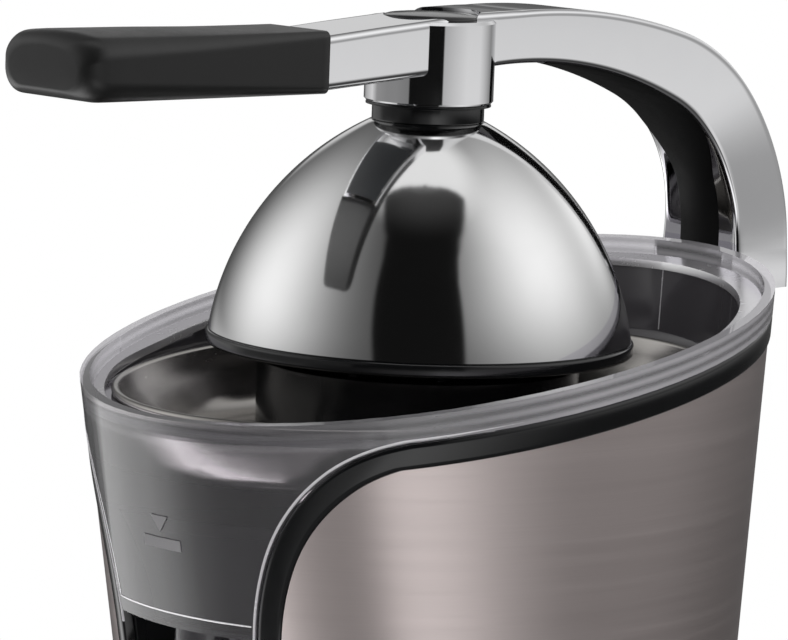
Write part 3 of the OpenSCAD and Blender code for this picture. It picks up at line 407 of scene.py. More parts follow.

# Black cup inside the dome: its lip shows below the dome, its collar above; the collar's flange under the hub
# is painted shade
cup_out = dome_arc(DOME_T + CUP_GAP, LIP_H, DOME_H - 1, 40)
cup_in = dome_arc(DOME_T + CUP_GAP + CUP_WALL, LIP_H, DOME_H - 5, 40)
hole_r = dome_in[-1][0] - CUP_GAP
profile = ([(LIP_R - LIP_W + 0.6, 0), (LIP_R - LIP_EDGE_R, 0)]
           + arc((LIP_R - LIP_EDGE_R, LIP_EDGE_R), LIP_EDGE_R, -80, 0, 6)
           + arc((LIP_R - LIP_EDGE_R, LIP_H - LIP_EDGE_R), LIP_EDGE_R, 0, 80, 6) + cup_out
           + [(hole_r, DOME_H - 0.6), (hole_r, DOME_H)]
           + arc((COLLAR_R - COLLAR_EDGE_R, DOME_H + COLLAR_EDGE_R), COLLAR_EDGE_R, -80, 0, 4)
           + [(COLLAR_R, COLLAR_TOP - 1), (SHADE_FLANGE_R, COLLAR_TOP - 0.7)]
           + arc((SHADE_FLANGE_R - SHADE_FLANGE_EDGE_R, COLLAR_TOP - 0.35), SHADE_FLANGE_EDGE_R, 0, 85, 4)
           + [(BOLT_HOLE_R, COLLAR_TOP), (BOLT_HOLE_R, DOME_H - 5)] + cup_in[::-1]
           + [(LIP_R - LIP_W, LIP_H - 0.4), (LIP_R - LIP_W, 0.6)])
piece("press_cup_black", *turned(profile, PRESS_Z), "arm", "black_gloss", gloss_black, ["press_cup"])

# Press arm: rounded box sections swept along its neck, arch and leg
ARM_BACK, LEG_T, ARM_HALF_W, LEG_HALF_W, ARM_EDGE_R = 136.6, 22.5, 12.2, 15.7, 1.6
WIDE_BELOW, SLIM_ABOVE = PRESS_Z + 5, PRESS_Z + 65
HUB_R, HUB_H, HUB_EDGE = 17.75, 23, 0.8
HUB_Z = PRESS_Z + DOME_H + COLLAR_H
ARM_UNDER = HUB_Z + 10.6
ARM_TOP = ARM_UNDER + 15.1
ARCH_TOP = ARM_TOP - 0.5
PIN_Y, PIN_Z, PIN_R, PIN_HALF = ARM_BACK - LEG_T / 2 - 0.25, PRESS_Z + 20, 4, 14.75
LEG_FRONT = ARM_BACK - LEG_T
EAR_R = PIN_Y - LEG_FRONT
GRIP_START, GRIP_END, GRIP_HALF_W, GRIP_T, GRIP_RISE = 50, 139.4, 18.5, 16.8, 1.5
GRIP_LOW = ARM_TOP - 20.5
NECK_LOW = GRIP_LOW + 1
NECK_TOP = NECK_LOW + 14.4
# Arch outside and inside: radius of the bend at the back, radius of the flatter crown, and how much lower the
# bend lies than the crown
OUT_R, OUT_CROWN_R, OUT_FALL = 62, 219, 5.9
IN_R, IN_CROWN_R, IN_FALL = 45, 154.5, 9.2
NECK_STEPS, ARCH_STEPS, LEG_STEPS, EAR_STEPS = 30, 110, 8, 10


# Centre of the crown that meets a bend smoothly and reaches up to top
def crown(bend, bend_r, crown_r, top):
    low = top - crown_r
    return (bend[0] - sqrt((crown_r - bend_r) ** 2 - (bend[1] - low) ** 2), low)


# Rounded box as a loop; points near the ends of its flats keep these flat in smooth shading
def rounded_box(half_w, low, high, radius, steps=6, flats=(0.06, 0.94)):
    corners = [((half_w, low), 270), ((half_w, high), 0), ((-half_w, high), 90), ((-half_w, low), 180)]
    bends = []
    for (x, v), start in corners:
        cx = x - radius if x > 0 else x + radius
        cv = v - radius if v == high else v + radius
        bends.append(arc((cx, cv), radius, start, start + 90, steps))
    loop = []
    for bend, following in zip(bends, bends[1:] + bends[:1]):
        loop += bend + [tuple(a + (b - a) * f for a, b in zip(bend[-1], following[0])) for f in flats]
    return loop


def arm_half_w(z):
    return LEG_HALF_W + (ARM_HALF_W - LEG_HALF_W) * ramp(z, WIDE_BELOW, SLIM_ABOVE)


out_bend = (ARM_BACK - OUT_R, ARCH_TOP - OUT_R - OUT_FALL)
in_bend = (LEG_FRONT - IN_R, ARM_UNDER - IN_R - IN_FALL)
out_crown = crown(out_bend, OUT_R, OUT_CROWN_R, ARCH_TOP)
in_crown = crown(in_bend, IN_R, IN_CROWN_R, ARM_UNDER)
out_meet = degrees(atan2(out_bend[1] - out_crown[1], out_bend[0] - out_crown[0]))
in_meet = degrees(atan2(in_bend[1] - in_crown[1], in_bend[0] - in_crown[0]))
out_arch = arc(out_crown, OUT_CROWN_R, 92, out_meet, 30) + arc(out_bend, OUT_R, out_meet, 0, 60)[1:]
in_arch = arc(in_crown, IN_CROWN_R, 95, in_meet, 30) + arc(in_bend, IN_R, in_meet, 0, 60)[1:]
neck_line = [(-GRIP_START, NECK_TOP), (-30, ARM_TOP - 3.5), (-10, ARM_TOP - 2.1), (4, ARM_TOP - 0.9),
             (20, ARM_TOP - 0.6)]
top_line = (along(neck_line, NECK_STEPS) + along(out_arch, ARCH_STEPS)
            + along([(ARM_BACK, out_bend[1] - 1), (ARM_BACK, PIN_Z)], LEG_STEPS)
            + along([(ARM_BACK, PIN_Z - 1), (ARM_BACK, PIN_Z - EAR_R)], EAR_STEPS))
low_line = (along([(-GRIP_START, NECK_LOW), in_arch[0]], NECK_STEPS) + along(in_arch, ARCH_STEPS)
            + along([(LEG_FRONT, in_bend[1] - 1), (LEG_FRONT, PIN_Z)], LEG_STEPS)
            + arc((PIN_Y, PIN_Z), EAR_R, 188, 270, EAR_STEPS - 1))
loops = []
for (ty, tz), (ly, lz) in zip(top_line, low_line):
    depth = hypot(ty - ly, tz - lz)
    section = rounded_box(arm_half_w((tz + lz) / 2), 0, depth, ARM_EDGE_R)
    loops.append([(x, ly + (ty - ly) * v / depth, lz + (tz - lz) * v / depth) for x, v in section])
arm = piece("arm_casting_chromed", *skin(loops), "arm", "arm_chrome", chromed_casting, ["arm_casting"])


# Helper solids that are joined to or cut from a piece and then removed
def shaped(target, points, faces, operation):
    mesh = raw_mesh("cutter", points, faces)
    cutter = bpy.data.objects.new("cutter", mesh)
    scene.collection.objects.link(cutter)
    change = target.modifiers.new("change", "BOOLEAN")
    change.object = cutter
    change.operation = operation
    change.solver = "EXACT"
    bpy.context.view_layer.update()
    result = bpy.data.meshes.new_from_object(target.evaluated_get(bpy.context.evaluated_depsgraph_get()))
    target.modifiers.clear()
    old = target.data
    target.data = result
    result.name = old.name + "_cut"
    bpy.data.meshes.remove(old)
    bpy.data.objects.remove(cutter)
    bpy.data.meshes.remove(mesh)


def round_bar(rings, steps):
    return skin([[(r * cos(2 * pi * s / steps), r * sin(2 * pi * s / steps), z) for s in range(steps)]
                 for r, z in rings])


def cross_bar(radius, y, z, half, steps=48):
    return skin([[(x, y + radius * cos(2 * pi * s / steps), z + radius * sin(2 * pi * s / steps))
                  for s in range(steps)] for x in (-half, half)])


def box_points(half_w, y0, y1, z0, z1):
    return skin([[(-half_w, y0, z), (half_w, y0, z), (half_w, y1, z), (-half_w, y1, z)] for z in (z0, z1)])


CAP_R, CAP_GAP, CAP_EDGE_R, CAP_FALL = 13.2, 0.1, 0.8, 0.9
CAP_LOW = HUB_Z + HUB_H - 2
SLOT_HALF_W, SLOT_WALL, ARM_CREASE = 10.3, 1.5, 32
hub = [(HUB_R - HUB_EDGE, HUB_Z), (HUB_R, HUB_Z + HUB_EDGE), (HUB_R, HUB_Z + HUB_H - HUB_EDGE),
       (HUB_R - HUB_EDGE, HUB_Z + HUB_H)]
open_slot = box_points(SLOT_HALF_W, LEG_FRONT - 5, ARM_BACK + 5, PIN_Z - 30, PIN_Z - 1)
walled_slot = box_points(SLOT_HALF_W, LEG_FRONT + SLOT_WALL, ARM_BACK + 5, PIN_Z - 2, PIN_Z + 15)
cap_seat = [(CAP_R + CAP_GAP, CAP_LOW), (CAP_R + CAP_GAP, ARM_TOP + 5)]
shaped(arm, *round_bar(hub, 192), "UNION")
shaped(arm, *open_slot, "DIFFERENCE")
shaped(arm, *walled_slot, "DIFFERENCE")
shaped(arm, *cross_bar(PIN_R, PIN_Y, PIN_Z, PIN_HALF), "DIFFERENCE")
shaped(arm, *round_bar(cap_seat, 128), "DIFFERENCE")
shade_smooth(arm.data, ARM_CREASE)

# Dark strips in the arm's underside, the arch's one painted shade for a deep groove: how far they are sunk
# and how far they stand out
STRIP_SUNK, STRIP_STEP, STRIP_OUT, STRIP_EDGE = 0.5, 0.05, 0.25, 0.3
ARCH_SHADE_HALF_W, ARCH_SHADE_WIDER, ARCH_SHADE_Y = 7.4, 4.2, 34
NECK_FILLER_HALF_W = 10.4


# Underside strip given by its half width at a point of the lower line, or None
def underside_strip(half_width):
    made = []
    for (ty, tz), (ly, lz) in zip(top_line, low_line):
        half_w = half_width(ly, lz)
        if half_w is None:
            continue
        depth = hypot(ty - ly, tz - lz)
        section = [(-half_w, -STRIP_SUNK), (half_w, -STRIP_SUNK), (half_w, STRIP_STEP),
                   (half_w - STRIP_EDGE, STRIP_OUT), (STRIP_EDGE - half_w, STRIP_OUT),
                   (-half_w, STRIP_STEP)]
        made.append([(x, ly + (ly - ty) * v / depth, lz + (lz - tz) * v / depth) for x, v in section])
    return skin(made)


# Painted shade in the arch's underside, from behind the hub down to the slot's front wall, wider up in the
# arch
def arch_shade_half_w(y, z):
    if y > ARCH_SHADE_Y and z > PIN_Z - 0.5:
        return ARCH_SHADE_HALF_W + ARCH_SHADE_WIDER * ramp(z, PIN_Z + 20, PIN_Z + 38)
    return None


# From the grip to the hub
def neck_filler_half_w(y, z):
    return NECK_FILLER_HALF_W if -GRIP_START + 1 < y < -HUB_R - 1 else None


# Painted shade: a dull black strip for the shade in the arch's deep groove
piece("arch_groove_painted_shade", *underside_strip(arch_shade_half_w), "arm", "black_satin", groove_shade_black)
piece("neck_filler_black", *underside_strip(neck_filler_half_w), "arm", "black_satin", filled_nylon)

# Round cap in the hub's top, slightly crowned
cap_edge = arc((CAP_R - CAP_EDGE_R, ARM_TOP - 1 - CAP_EDGE_R - CAP_FALL), CAP_EDGE_R, 0, 80, 6)
cap_crown = [(CAP_R * f, ARM_TOP - 1 - CAP_FALL * f * f) for f in (0.9, 0.75, 0.5, 0.25, 0.02)]
profile = [(0.3, CAP_LOW), (CAP_R, CAP_LOW)] + cap_edge + cap_crown
piece("hub_cap_black", *turned(profile, 0, 128), "arm", "black_gloss", gloss_black, ["top_insert"])

# Grip: rounded box sections that widen and rise towards a rounded free end, crowned on top
GRIP_ROOT_HALF_W, GRIP_ROOT_R, GRIP_R_GROWTH = 12.6, 2, 3.8
GRIP_TIP_R, TIP_PULL_SIDE, TIP_PULL_LOW, TIP_PULL_TOP = 7, 5.6, 3, 4
GRIP_CROWN, GRIP_SWELL = 2.2, 0.8
GRIP_FLATS = (0.06, 0.25, 0.5, 0.75, 0.94)


def grip_sections(steps=30):
    stations = [(-GRIP_START - 0.1, 0.04), (-GRIP_START - 0.3, 0)]
    straight = GRIP_END - GRIP_START - GRIP_TIP_R
    stations += [(-GRIP_START - straight * i / steps, 0) for i in range(1, steps + 1)]
    tip_turns = [radians(a) for a in range(6, 91, 6)]
    stations += [(-GRIP_END + GRIP_TIP_R * (1 - sin(turn)), 1 - cos(turn)) for turn in tip_turns]
    made = []
    for y, pull in stations:
        f = (-y - GRIP_START) / (GRIP_END - GRIP_START)
        half_w = GRIP_ROOT_HALF_W + (GRIP_HALF_W - GRIP_ROOT_HALF_W) * min(1, f * 1.12) - pull * TIP_PULL_SIDE
        bulge = min(1, 1.6 * f)
        low = GRIP_LOW + GRIP_RISE * f + pull * TIP_PULL_LOW
        high = GRIP_LOW + GRIP_T + GRIP_RISE * f + GRIP_SWELL * bulge - pull * TIP_PULL_TOP
        radius = min(GRIP_ROOT_R + GRIP_R_GROWTH * f, (high - low) / 2 - 0.2, half_w - 0.2)
        middle = (low + high) / 2
        made.append([(x, y, z - GRIP_CROWN * bulge * (x / half_w) ** 2 * max(0, z - middle) / (high - middle))
                     for x, z in rounded_box(half_w, low, high, radius, 10, GRIP_FLATS)])
    return made


piece("handle_grip_rubber", *skin(grip_sections()), "arm", "soft_grip", soft_rubber, ["handle_grip"], 50)


# Body: tapered and raked oval sections, drawn in by an inset
def body_axes(z, inset):
    fall = REF_Z - z
    return (BODY_HALF_W - SIDE_TAPER * fall - inset, BODY_FRONT - FRONT_RAKE * fall - inset,
            BODY_BACK - SIDE_TAPER * fall - inset)


def on_body(angle, z, inset):
    half_w, front, back = body_axes(z, inset)
    s = sin(radians(angle))
    return (half_w * cos(radians(angle)), BODY_CY + (front if s < 0 else back) * s, z)


# Angle of the body's front at a place across it
def front_angle(x, z, inset=0):
    return -degrees(acos(x / body_axes(z, inset)[0]))


def other_half(points):
    return [(-x, y, z) for x, y, z in points]


# Height of a line that runs a drop below the sloped rim, at an angle round the body
def rim_z(angle, drop, inset=0):
    z = PRESS_Z + RIM_LIFT - drop
    for _ in range(6):
        z = PRESS_Z + RIM_LIFT - drop + TILT * on_body(angle, z, inset)[1]
    return z


# Edge of the front opening as points of x and z, from the flare's start upwards
def flare(widen):
    heading = START_HEADING
    p = (MOUTH_HALF_W + widen * sin(radians(heading)), FLARE_Z - widen * cos(radians(heading)))
    points = [p]
    for radius, turn in BENDS:
        r = radius - widen
        c = (p[0] + r * sin(radians(heading)), p[1] - r * cos(radians(heading)))
        points += arc(c, r, heading + 90, heading + 90 - turn, 14)[1:]
        p = points[-1]
        heading -= turn
    points += [(p[0] + step, p[1] + step * TILT) for step in range(2, 60, 2)]
    return points


# Below the flare the edge leans out by a share of its heading, measured from EDGE_LOW_Z.
# A degree round the body is near SIDE_DEGREE mm, which keeps the border's points evenly spread
EDGE_LOW_Z, EDGE_LEAN, SIDE_DEGREE, SIDE_END = -20, 0.25, 1.45, 0.995
UP_STEPS, SWEPT_STEPS, RIM_STEPS, BACK_STEPS = 26, 110, 40, 60


# Border of trim or shell on the right half, as angle and height: up the opening, along the flare and the rim
def border(widen, drop, inset):
    points = flare(widen)
    start_x, start_z = points[0]
    foot_x = start_x - (start_z - EDGE_LOW_Z) / tan(radians(START_HEADING)) * EDGE_LEAN
    foot_x += (start_x - foot_x) * (DECK_Z - EDGE_LOW_Z) / (start_z - EDGE_LOW_Z)
    up = [(front_angle(x, z, inset), z) for x, z in along([(foot_x, DECK_Z), points[0]], UP_STEPS)[:-1]]
    swept = []
    for x, z in points:
        if x >= body_axes(z, inset)[0] * SIDE_END:
            break
        angle = front_angle(x, z, inset)
        limit = rim_z(angle, drop, inset)
        swept.append((angle, min(z, limit)))
        if z > limit:
            break
    last = swept[-1][0]
    rest = [last * (1 - i / RIM_STEPS) for i in range(1, RIM_STEPS + 1)]
    swept += [(angle, rim_z(angle, drop, inset)) for angle in rest]
    swept = along([(angle * SIDE_DEGREE, z) for angle, z in swept], SWEPT_STEPS)
    swept = [(reach / SIDE_DEGREE, z) for reach, z in swept]
    behind = [90 * i / BACK_STEPS for i in range(1, BACK_STEPS + 1)]
    return up, swept + [(angle, rim_z(angle, drop, inset)) for angle in behind]


# Brushed shell: sheet from the deck up to the trim, all round but for the front opening
def shell_rows(inset, steps=40):
    up, top = border(TRIM_W - SHEET_OVERLAP, BAND_H + TRIM_H - SHEET_OVERLAP, inset)
    foot, start = up[0][0], top[0][0]
    rows = []
    for v in range(steps + 1):
        f = v / steps
        right = []
        for angle, z in top:
            low_angle = 90 + (angle - 90) * (90 - foot) / (90 - start)
            right.append(on_body(low_angle + (angle - low_angle) * f, DECK_Z + (z - DECK_Z) * f, inset))
        rows.append(right + other_half(right[-2::-1]))
    return rows


outside = shell_rows(SHEET_INSET)
inside = shell_rows(SHEET_INSET + SHEET_T)
loops = [[row[k] for row in outside] + [row[k] for row in inside[::-1]] for k in range(len(outside[0]))]
piece("steel_shell_brushed", *skin(loops), "housing", "panel_steel", brushed_sheet, ["steel_shell"])


# Trim: bevelled strip between two borders, up one side of the opening, round the rim and down the other
def trim_loops():
    inner_up, inner_top = border(0, BAND_H, 0)
    outer_up, outer_top = border(TRIM_W, BAND_H + TRIM_H, 0)
    strip = [(0.0, TRIM_T), (0.0, 0.9), (0.03, 0.45), (0.1, 0.12), (0.2, 0), (0.5, 0), (0.8, 0), (0.9, 0.12),
             (0.97, 0.4), (1.0, 0.9), (1.0, TRIM_T)]
    half = []
    for (ia, iz), (oa, oz) in zip(inner_up + inner_top, outer_up + outer_top):
        half.append([on_body(ia + (oa - ia) * f, iz + (oz - iz) * f, inset) for f, inset in strip])
    return half + [other_half(loop) for loop in half[-2::-1]]


piece("panel_trim_black", *skin(trim_loops()), "housing", "black_gloss", gloss_black, ["panel_trim"], 60)

# Strainer: drawn oval dish with a rolled rim, nearly level in the sloped bowl
STRAINER_T, STRAINER_BEAD = 0.9, 1.2
STRAINER_LOW = PRESS_Z - 27 - STRAINER_T
SCREEN_INSET, BOWL_INSET = 29.6, 6.25
STRAINER_HALF_W, STRAINER_HALF_L, STRAINER_CY = 72, 93.15, 0.85
STRAINER_DROP, STRAINER_TILT = 7.5, 0.03
DISH_CORNER_R, DISH_DRAFT, DISH_END_DRAFT = 8, 17, 42


def strainer_rim(angle):
    x, y = STRAINER_HALF_W * cos(radians(angle)), STRAINER_CY + STRAINER_HALF_L * sin(radians(angle))
    return Vector((x, y, PRESS_Z - STRAINER_DROP + STRAINER_TILT * y))


# Points on the upright plane from one point to another, given as reach and height
def upright(start, end, shape):
    out = Vector((end.x - start.x, end.y - start.y, 0)).normalized()
    return [(start.x + out.x * reach, start.y + out.y * reach, z) for reach, z in shape]


# Draft of the dish's wall: steep along the sides, a gentle slope at the front end
def dish_draft(angle):
    turn = (angle + 180) % 360 - 180
    slope = ramp(-turn, 74, 108) * (1 - ramp(-turn, 140, 175))
    return DISH_DRAFT + (DISH_END_DRAFT - DISH_DRAFT) * slope


def strainer_loops(steps=300):
    loops = []
    for s in range(steps):
        angle = 360 * s / steps
        foot = Vector(on_body(angle, STRAINER_LOW, SCREEN_INSET))
        rim = strainer_rim(angle)
        reach = hypot(rim.x - foot.x, rim.y - foot.y) - STRAINER_BEAD
        low, high = STRAINER_LOW + STRAINER_T, rim.z - STRAINER_BEAD
        draft = dish_draft(angle)
        lean = tan(radians(draft))
        climb = high - low - DISH_CORNER_R * (1 - sin(radians(draft)))
        bend = reach - DISH_CORNER_R * cos(radians(draft)) - climb * lean
        inner = [(0, low), (bend / 2, low)] + arc((bend, low + DISH_CORNER_R), DISH_CORNER_R, -90, -draft, 10)
        inner += [(inner[-1][0] + climb * lean * i / 4, inner[-1][1] + climb * i / 4) for i in range(1, 4)]
        outer = [(0, STRAINER_LOW)]
        for (r0, z0), (r1, z1), (r2, z2) in zip(inner, inner[1:], inner[2:]):
            run, lift = r2 - r0, z2 - z0
            size = hypot(run, lift)
            outer.append((r1 + lift / size * STRAINER_T, z1 - run / size * STRAINER_T))
        bead = arc((reach + 0.5, high), STRAINER_BEAD, 165, -105, 12)
        loops.append(upright(foot, rim, inner + bead + outer[::-1]))
    return loops


piece("strainer_dish_drawn", *skin(strainer_loops(), ring=True), "housing", "strainer_steel", drawn_sheet,
      ["strainer_dish"], 50)

# Ring on the bowl's ledge: it reaches inwards, and thins out in front, where the strainer's rim lies higher
RING_DROP, LEDGE_DROP, LEDGE_INSET, RING_W, RING_LEAST_W = 4.3, 5, 3, 3.1, 0.15


def ring_loops(steps=240):
    loops = []
    for s in range(steps):
        angle = 360 * s / steps
        room = rim_z(angle, RING_DROP, BOWL_INSET) - strainer_rim(angle).z
        reach = BOWL_INSET + RING_W * ramp(room, 0.5, 4) + RING_LEAST_W
        shape = [(LEDGE_INSET + 0.05, LEDGE_DROP - 0.05), (LEDGE_INSET + 0.05, RING_DROP + 0.2),
                 (LEDGE_INSET + 0.25, RING_DROP), (reach - 0.12, RING_DROP), (reach, RING_DROP + 0.4),
                 (reach, LEDGE_DROP + 1.5), (BOWL_INSET + 0.05, LEDGE_DROP + 1.5),
                 (BOWL_INSET + 0.05, LEDGE_DROP - 0.05)]
        loops.append([on_body(angle, rim_z(angle, drop, inset), inset) for inset, drop in shape])
    return loops


piece("bowl_ring_hazy", *skin(ring_loops(), ring=True), "housing", "clear_bowl", hazy_styrene, (), 40)

# Well below the ring: a wall, and a hollow corner to the ledge that holds the strainer. All thin out in front
WELL_WALL_T, WELL_CORNER_R, WELL_EDGE, WELL_LEDGE_T, WELL_LEAST_T = 2.6, 4, 0.5, 2.4, 0.1


def well_loops(steps=240):
    loops = []
    for s in range(steps):
        angle = 360 * s / steps
        rim = strainer_rim(angle)
        ledge = rim.z - 2 * STRAINER_BEAD - 0.03
        wall = Vector(on_body(angle, ledge, BOWL_INSET))
        gap = hypot(rim.x - wall.x, rim.y - wall.y) + 0.7
        top = max(rim_z(angle, LEDGE_DROP + 1.6, BOWL_INSET), ledge)
        thick = min(WELL_WALL_T, 0.35 * gap) * ramp(top - ledge, 0, 4) + WELL_LEAST_T
        corner = min(WELL_CORNER_R, 0.6 * (gap - thick), 0.7 * (top - ledge))
        edge = min(WELL_EDGE, 0.3 * thick, 0.2 * (top - ledge) + 0.02)
        hollow = [(thick + corner * (1 - cos(radians(a))), ledge + corner * (1 - sin(radians(a))))
                  for a in range(0, 91, 10)]
        shape = [(0, top), (thick - edge, top), (thick, top - edge)] + hollow
        shape += [(gap - 0.2, ledge), (gap, ledge - 0.2), (gap, ledge - WELL_LEDGE_T),
                  (0, ledge - WELL_LEDGE_T)]
        lean = [Vector(on_body(angle, z, BOWL_INSET)) - wall for _, z in shape]
        loops.append([(p[0] + q.x, p[1] + q.y, p[2]) for p, q in zip(upright(wall, rim, shape), lean)])
    return loops


# The well's charcoal is painted shade
piece("bowl_well_painted_shade", *skin(well_loops(), ring=True), "housing", "clear_bowl", well_shade_styrene, (), 40)


# Painted highlight: a pale bead where the clear wall ends above the trim, fading out along the rim
def edge_highlight_loops(side):
    upper, lower = border(-1.1, BAND_H - 1.1, 0)[1], border(-0.5, BAND_H - 0.5, 0)[1]
    strip = [(0, 0.4), (0, 0), (0.3, -0.14), (0.7, -0.14), (1, 0), (1, 0.4)]
    loops = []
    for (ua, uz), (la, lz) in zip(upper, lower):
        width = ramp(-ua, 20, 42)
        if width < 0.05:
            break
        loops.append([on_body(ua + (la - ua) * f * width, uz + (lz - uz) * f * width, inset * width)
                      for f, inset in strip])
    return loops if side == "right" else [other_half(loop) for loop in loops[::-1]]


for side in ("right", "left"):
    # Pale beads as painted highlights on the clear wall's edge
    piece("bowl_edge_highlight_" + side, *skin(edge_highlight_loops(side)), "housing", "clear_bowl", highlight_styrene, (), 60)


# Thin upright seam in the back of the well's wall, drawn pale as a painted highlight
def seam_loops(angle=91, spread=0.16):
    top = rim_z(angle, LEDGE_DROP + 2.2, BOWL_INSET)
    low = strainer_rim(angle).z - 2 * STRAINER_BEAD + 4
    section = [(-spread, 2.2), (spread, 2.2), (spread, 2.75), (0, 2.9), (-spread, 2.75)]
    return [[on_body(angle + turn, z, BOWL_INSET + inset) for turn, inset in section]
            for z in (low, (low + top) / 2, top)]


piece("bowl_seam", *skin(seam_loops()), "housing", "clear_bowl", highlight_styrene)

# Painted highlight: a fine pale line where the reservoir's floor and far side meet its front wall
RESERVOIR_WALL, FLOOR_LINE_Z, FLOOR_LINE_RISE = 2.6, 175.5, 42


def floor_line_highlight_loops(half=0.22):
    side = [(x, z) for x, z in flare(-RESERVOIR_WALL) if FLOOR_LINE_Z < z < FLOOR_LINE_Z + FLOOR_LINE_RISE]
    reach = side[0][0]
    path = along([(-x, z) for x, z in side[::-1]] + [(-reach, FLOOR_LINE_Z)], 40)
    path += along([(-reach, FLOOR_LINE_Z), (reach + 1, FLOOR_LINE_Z)], 24)[1:]
    section = [(-1, 0.2), (-1, -0.04), (0, -0.1), (1, -0.04), (1, 0.2)]
    loops = []
    for before, (x, z), after in zip(path[:1] + path, path, path[1:] + path[-1:]):
        run, lift = after[0] - before[0], after[1] - before[1]
        size = hypot(run, lift)
        across = [(x - lift / size * half * s, z + run / size * half * s, inset) for s, inset in section]
        loops.append([on_body(front_angle(u, v), v, inset) for u, v, inset in across])
    return loops


piece("reservoir_floor_highlight", *skin(floor_line_highlight_loops()), "housing", "clear_bowl", highlight_styrene, (), 60)

# Level mark moulded on the reservoir's front: a bar and a small pointer, seated in the wall and raised
MARK_SEAT, MARK_RAISE = 0.05, 0.25
LEVEL_BAR = [(x, 193.2) for x in range(-7, 8)] + [(x, 196.2) for x in range(7, -8, -1)]
LEVEL_POINTER = [(0, 197.8), (1.6, 200), (3.2, 202.2), (0, 202.2), (-3.2, 202.2), (-1.6, 200)]
for mark_name, outline in (("level_bar", LEVEL_BAR), ("level_pointer", LEVEL_POINTER)):
    loops = [[on_body(front_angle(x, z), z, inset) for x, z in outline] for inset in (MARK_SEAT, -MARK_RAISE)]
    piece(mark_name, *skin(loops), "housing", "clear_bowl", etched_styrene)

# Studio: pale floor, white surround, three soft lamps and a light tent that only reflections see
SURROUND_LIGHT, SURROUND_SEEN = 0.55, 1.0


def white_surround():
    world = bpy.data.worlds.new("studio")
    scene.world = world
    world.use_nodes = True
    tree = world.node_tree
    background = tree.nodes["Background"]
    rays = add(tree, "ShaderNodeLightPath").outputs
    seen = add(tree, "ShaderNodeMath", {0: rays["Is Camera Ray"], 1: rays["Is Glossy Ray"]},
               operation="MAXIMUM")
    through = add(tree, "ShaderNodeMath", {0: seen.outputs[0], 1: rays["Is Transmission Ray"]},
                  operation="MAXIMUM")
    level = add(tree, "ShaderNodeMapRange", {"Value": through.outputs[0], "To Min": SURROUND_LIGHT,
                                             "To Max": SURROUND_SEEN})
    tree.links.new(level.outputs["Result"], background.inputs["Strength"])
    background.inputs["Color"].default_value = (1, 1, 1, 1)


white_surround()
# Painted board, matt and pale: a plain ground with the faintest roller texture
painted_board = finish("board_painted_white", "#f4f4f4", "#eeeeee", 3, (0.7, 0.8), 0.02)
FLOOR_R = 0.7


def pale_floor():
    edge = [Vector((FLOOR_R * cos(pi * s / 32), FLOOR_R * sin(pi * s / 32), 0)) for s in range(64)]
    mesh = bpy.data.meshes.new("floor")
    mesh.from_pydata(edge, [], [tuple(range(len(edge)))])
    mesh.materials.append(painted_board)
    floor = bpy.data.objects.new("floor", mesh)
    scene.collection.objects.link(floor)
    floor.visible_glossy = False


pale_floor()

# Light tent round the press, in degrees of bearing from the camera and of elevation.
# Brightness by bearing on the table before the camera, at the table's edge, and level with the camera
TABLE_LIGHT = [(-180, 0.2), (-125, 0.4), (-108, 1.6), (-92, 3.4), (-62, 3.2), (-48, 2.2), (-38, 1.3),
               (-29, 0.8), (-18, 0.4), (-5, 0.15), (20, 0.2), (60, 0.1), (180, 0.1)]
LOW_LIGHT = [(-180, 0.05), (-152, 0.06), (-145, 0.4), (-137, 1.6), (-125, 1.9), (-100, 2.1), (-88, 1.6),
             (-75, 0.65), (-61, 0.22), (-49, 0.1), (-37, 0.08), (-28, 0.12), (-20, 0.22), (-8, 0.36),
             (0, 0.45), (6, 0.7), (11, 1.15), (20, 1.3), (28, 1.1), (38, 0.78), (47, 0.48), (55, 0.3),
             (65, 0.12), (75, 0.06), (110, 0.05), (125, 0.04), (150, 0.06), (180, 0.1)]
LEVEL_LIGHT = [(-180, 0.08), (-162, 0.08), (-148, 0.4), (-120, 0.7), (-105, 0.3), (-80, 0.25), (-60, 0.25),
               (-30, 0.2), (30, 0.5), (45, 0.6), (70, 0.74), (100, 0.74), (118, 0.5), (135, 0.26),
               (150, 0.14), (180, 0.08)]
# Half width of the dark gap in the tent by elevation, on its left and on its right
GAP_TOP = [(57, 33), (62, 42), (66, 52), (70, 66), (74, 66), (78, 60), (81, 48), (83, 26), (85, -12),
           (90, -12)]
GAP_LEFT = [(-20, 36), (-2, 35), (6, 24), (20, 27), (32, 29), (50, 31)] + GAP_TOP
GAP_RIGHT = [(-20, 24), (40, 25), (50, 28)] + GAP_TOP
# Soft panels: brightness, then bearing and elevation, each with its middle and its spread before and after
PANELS = [(0.95, (-102, 37, 41), (18, 23, 40)), (0.95, (87, 48, 62), (34, 30, 46)),
          (0.6, (148, 18, 18), (15, 10, 12))]
TENT_LIGHT, ROOF_LIGHT, BACK_LIGHT, GAP_LIGHT = 0.06, 0.84, 0.65, 0.006
TENT_REACH, TENT_Z, CAMERA_BEARING = 3.0, 0.24, -45


def bell(x, middle, before, after):
    return exp(-((x - middle) / (before if x < middle else after)) ** 2)


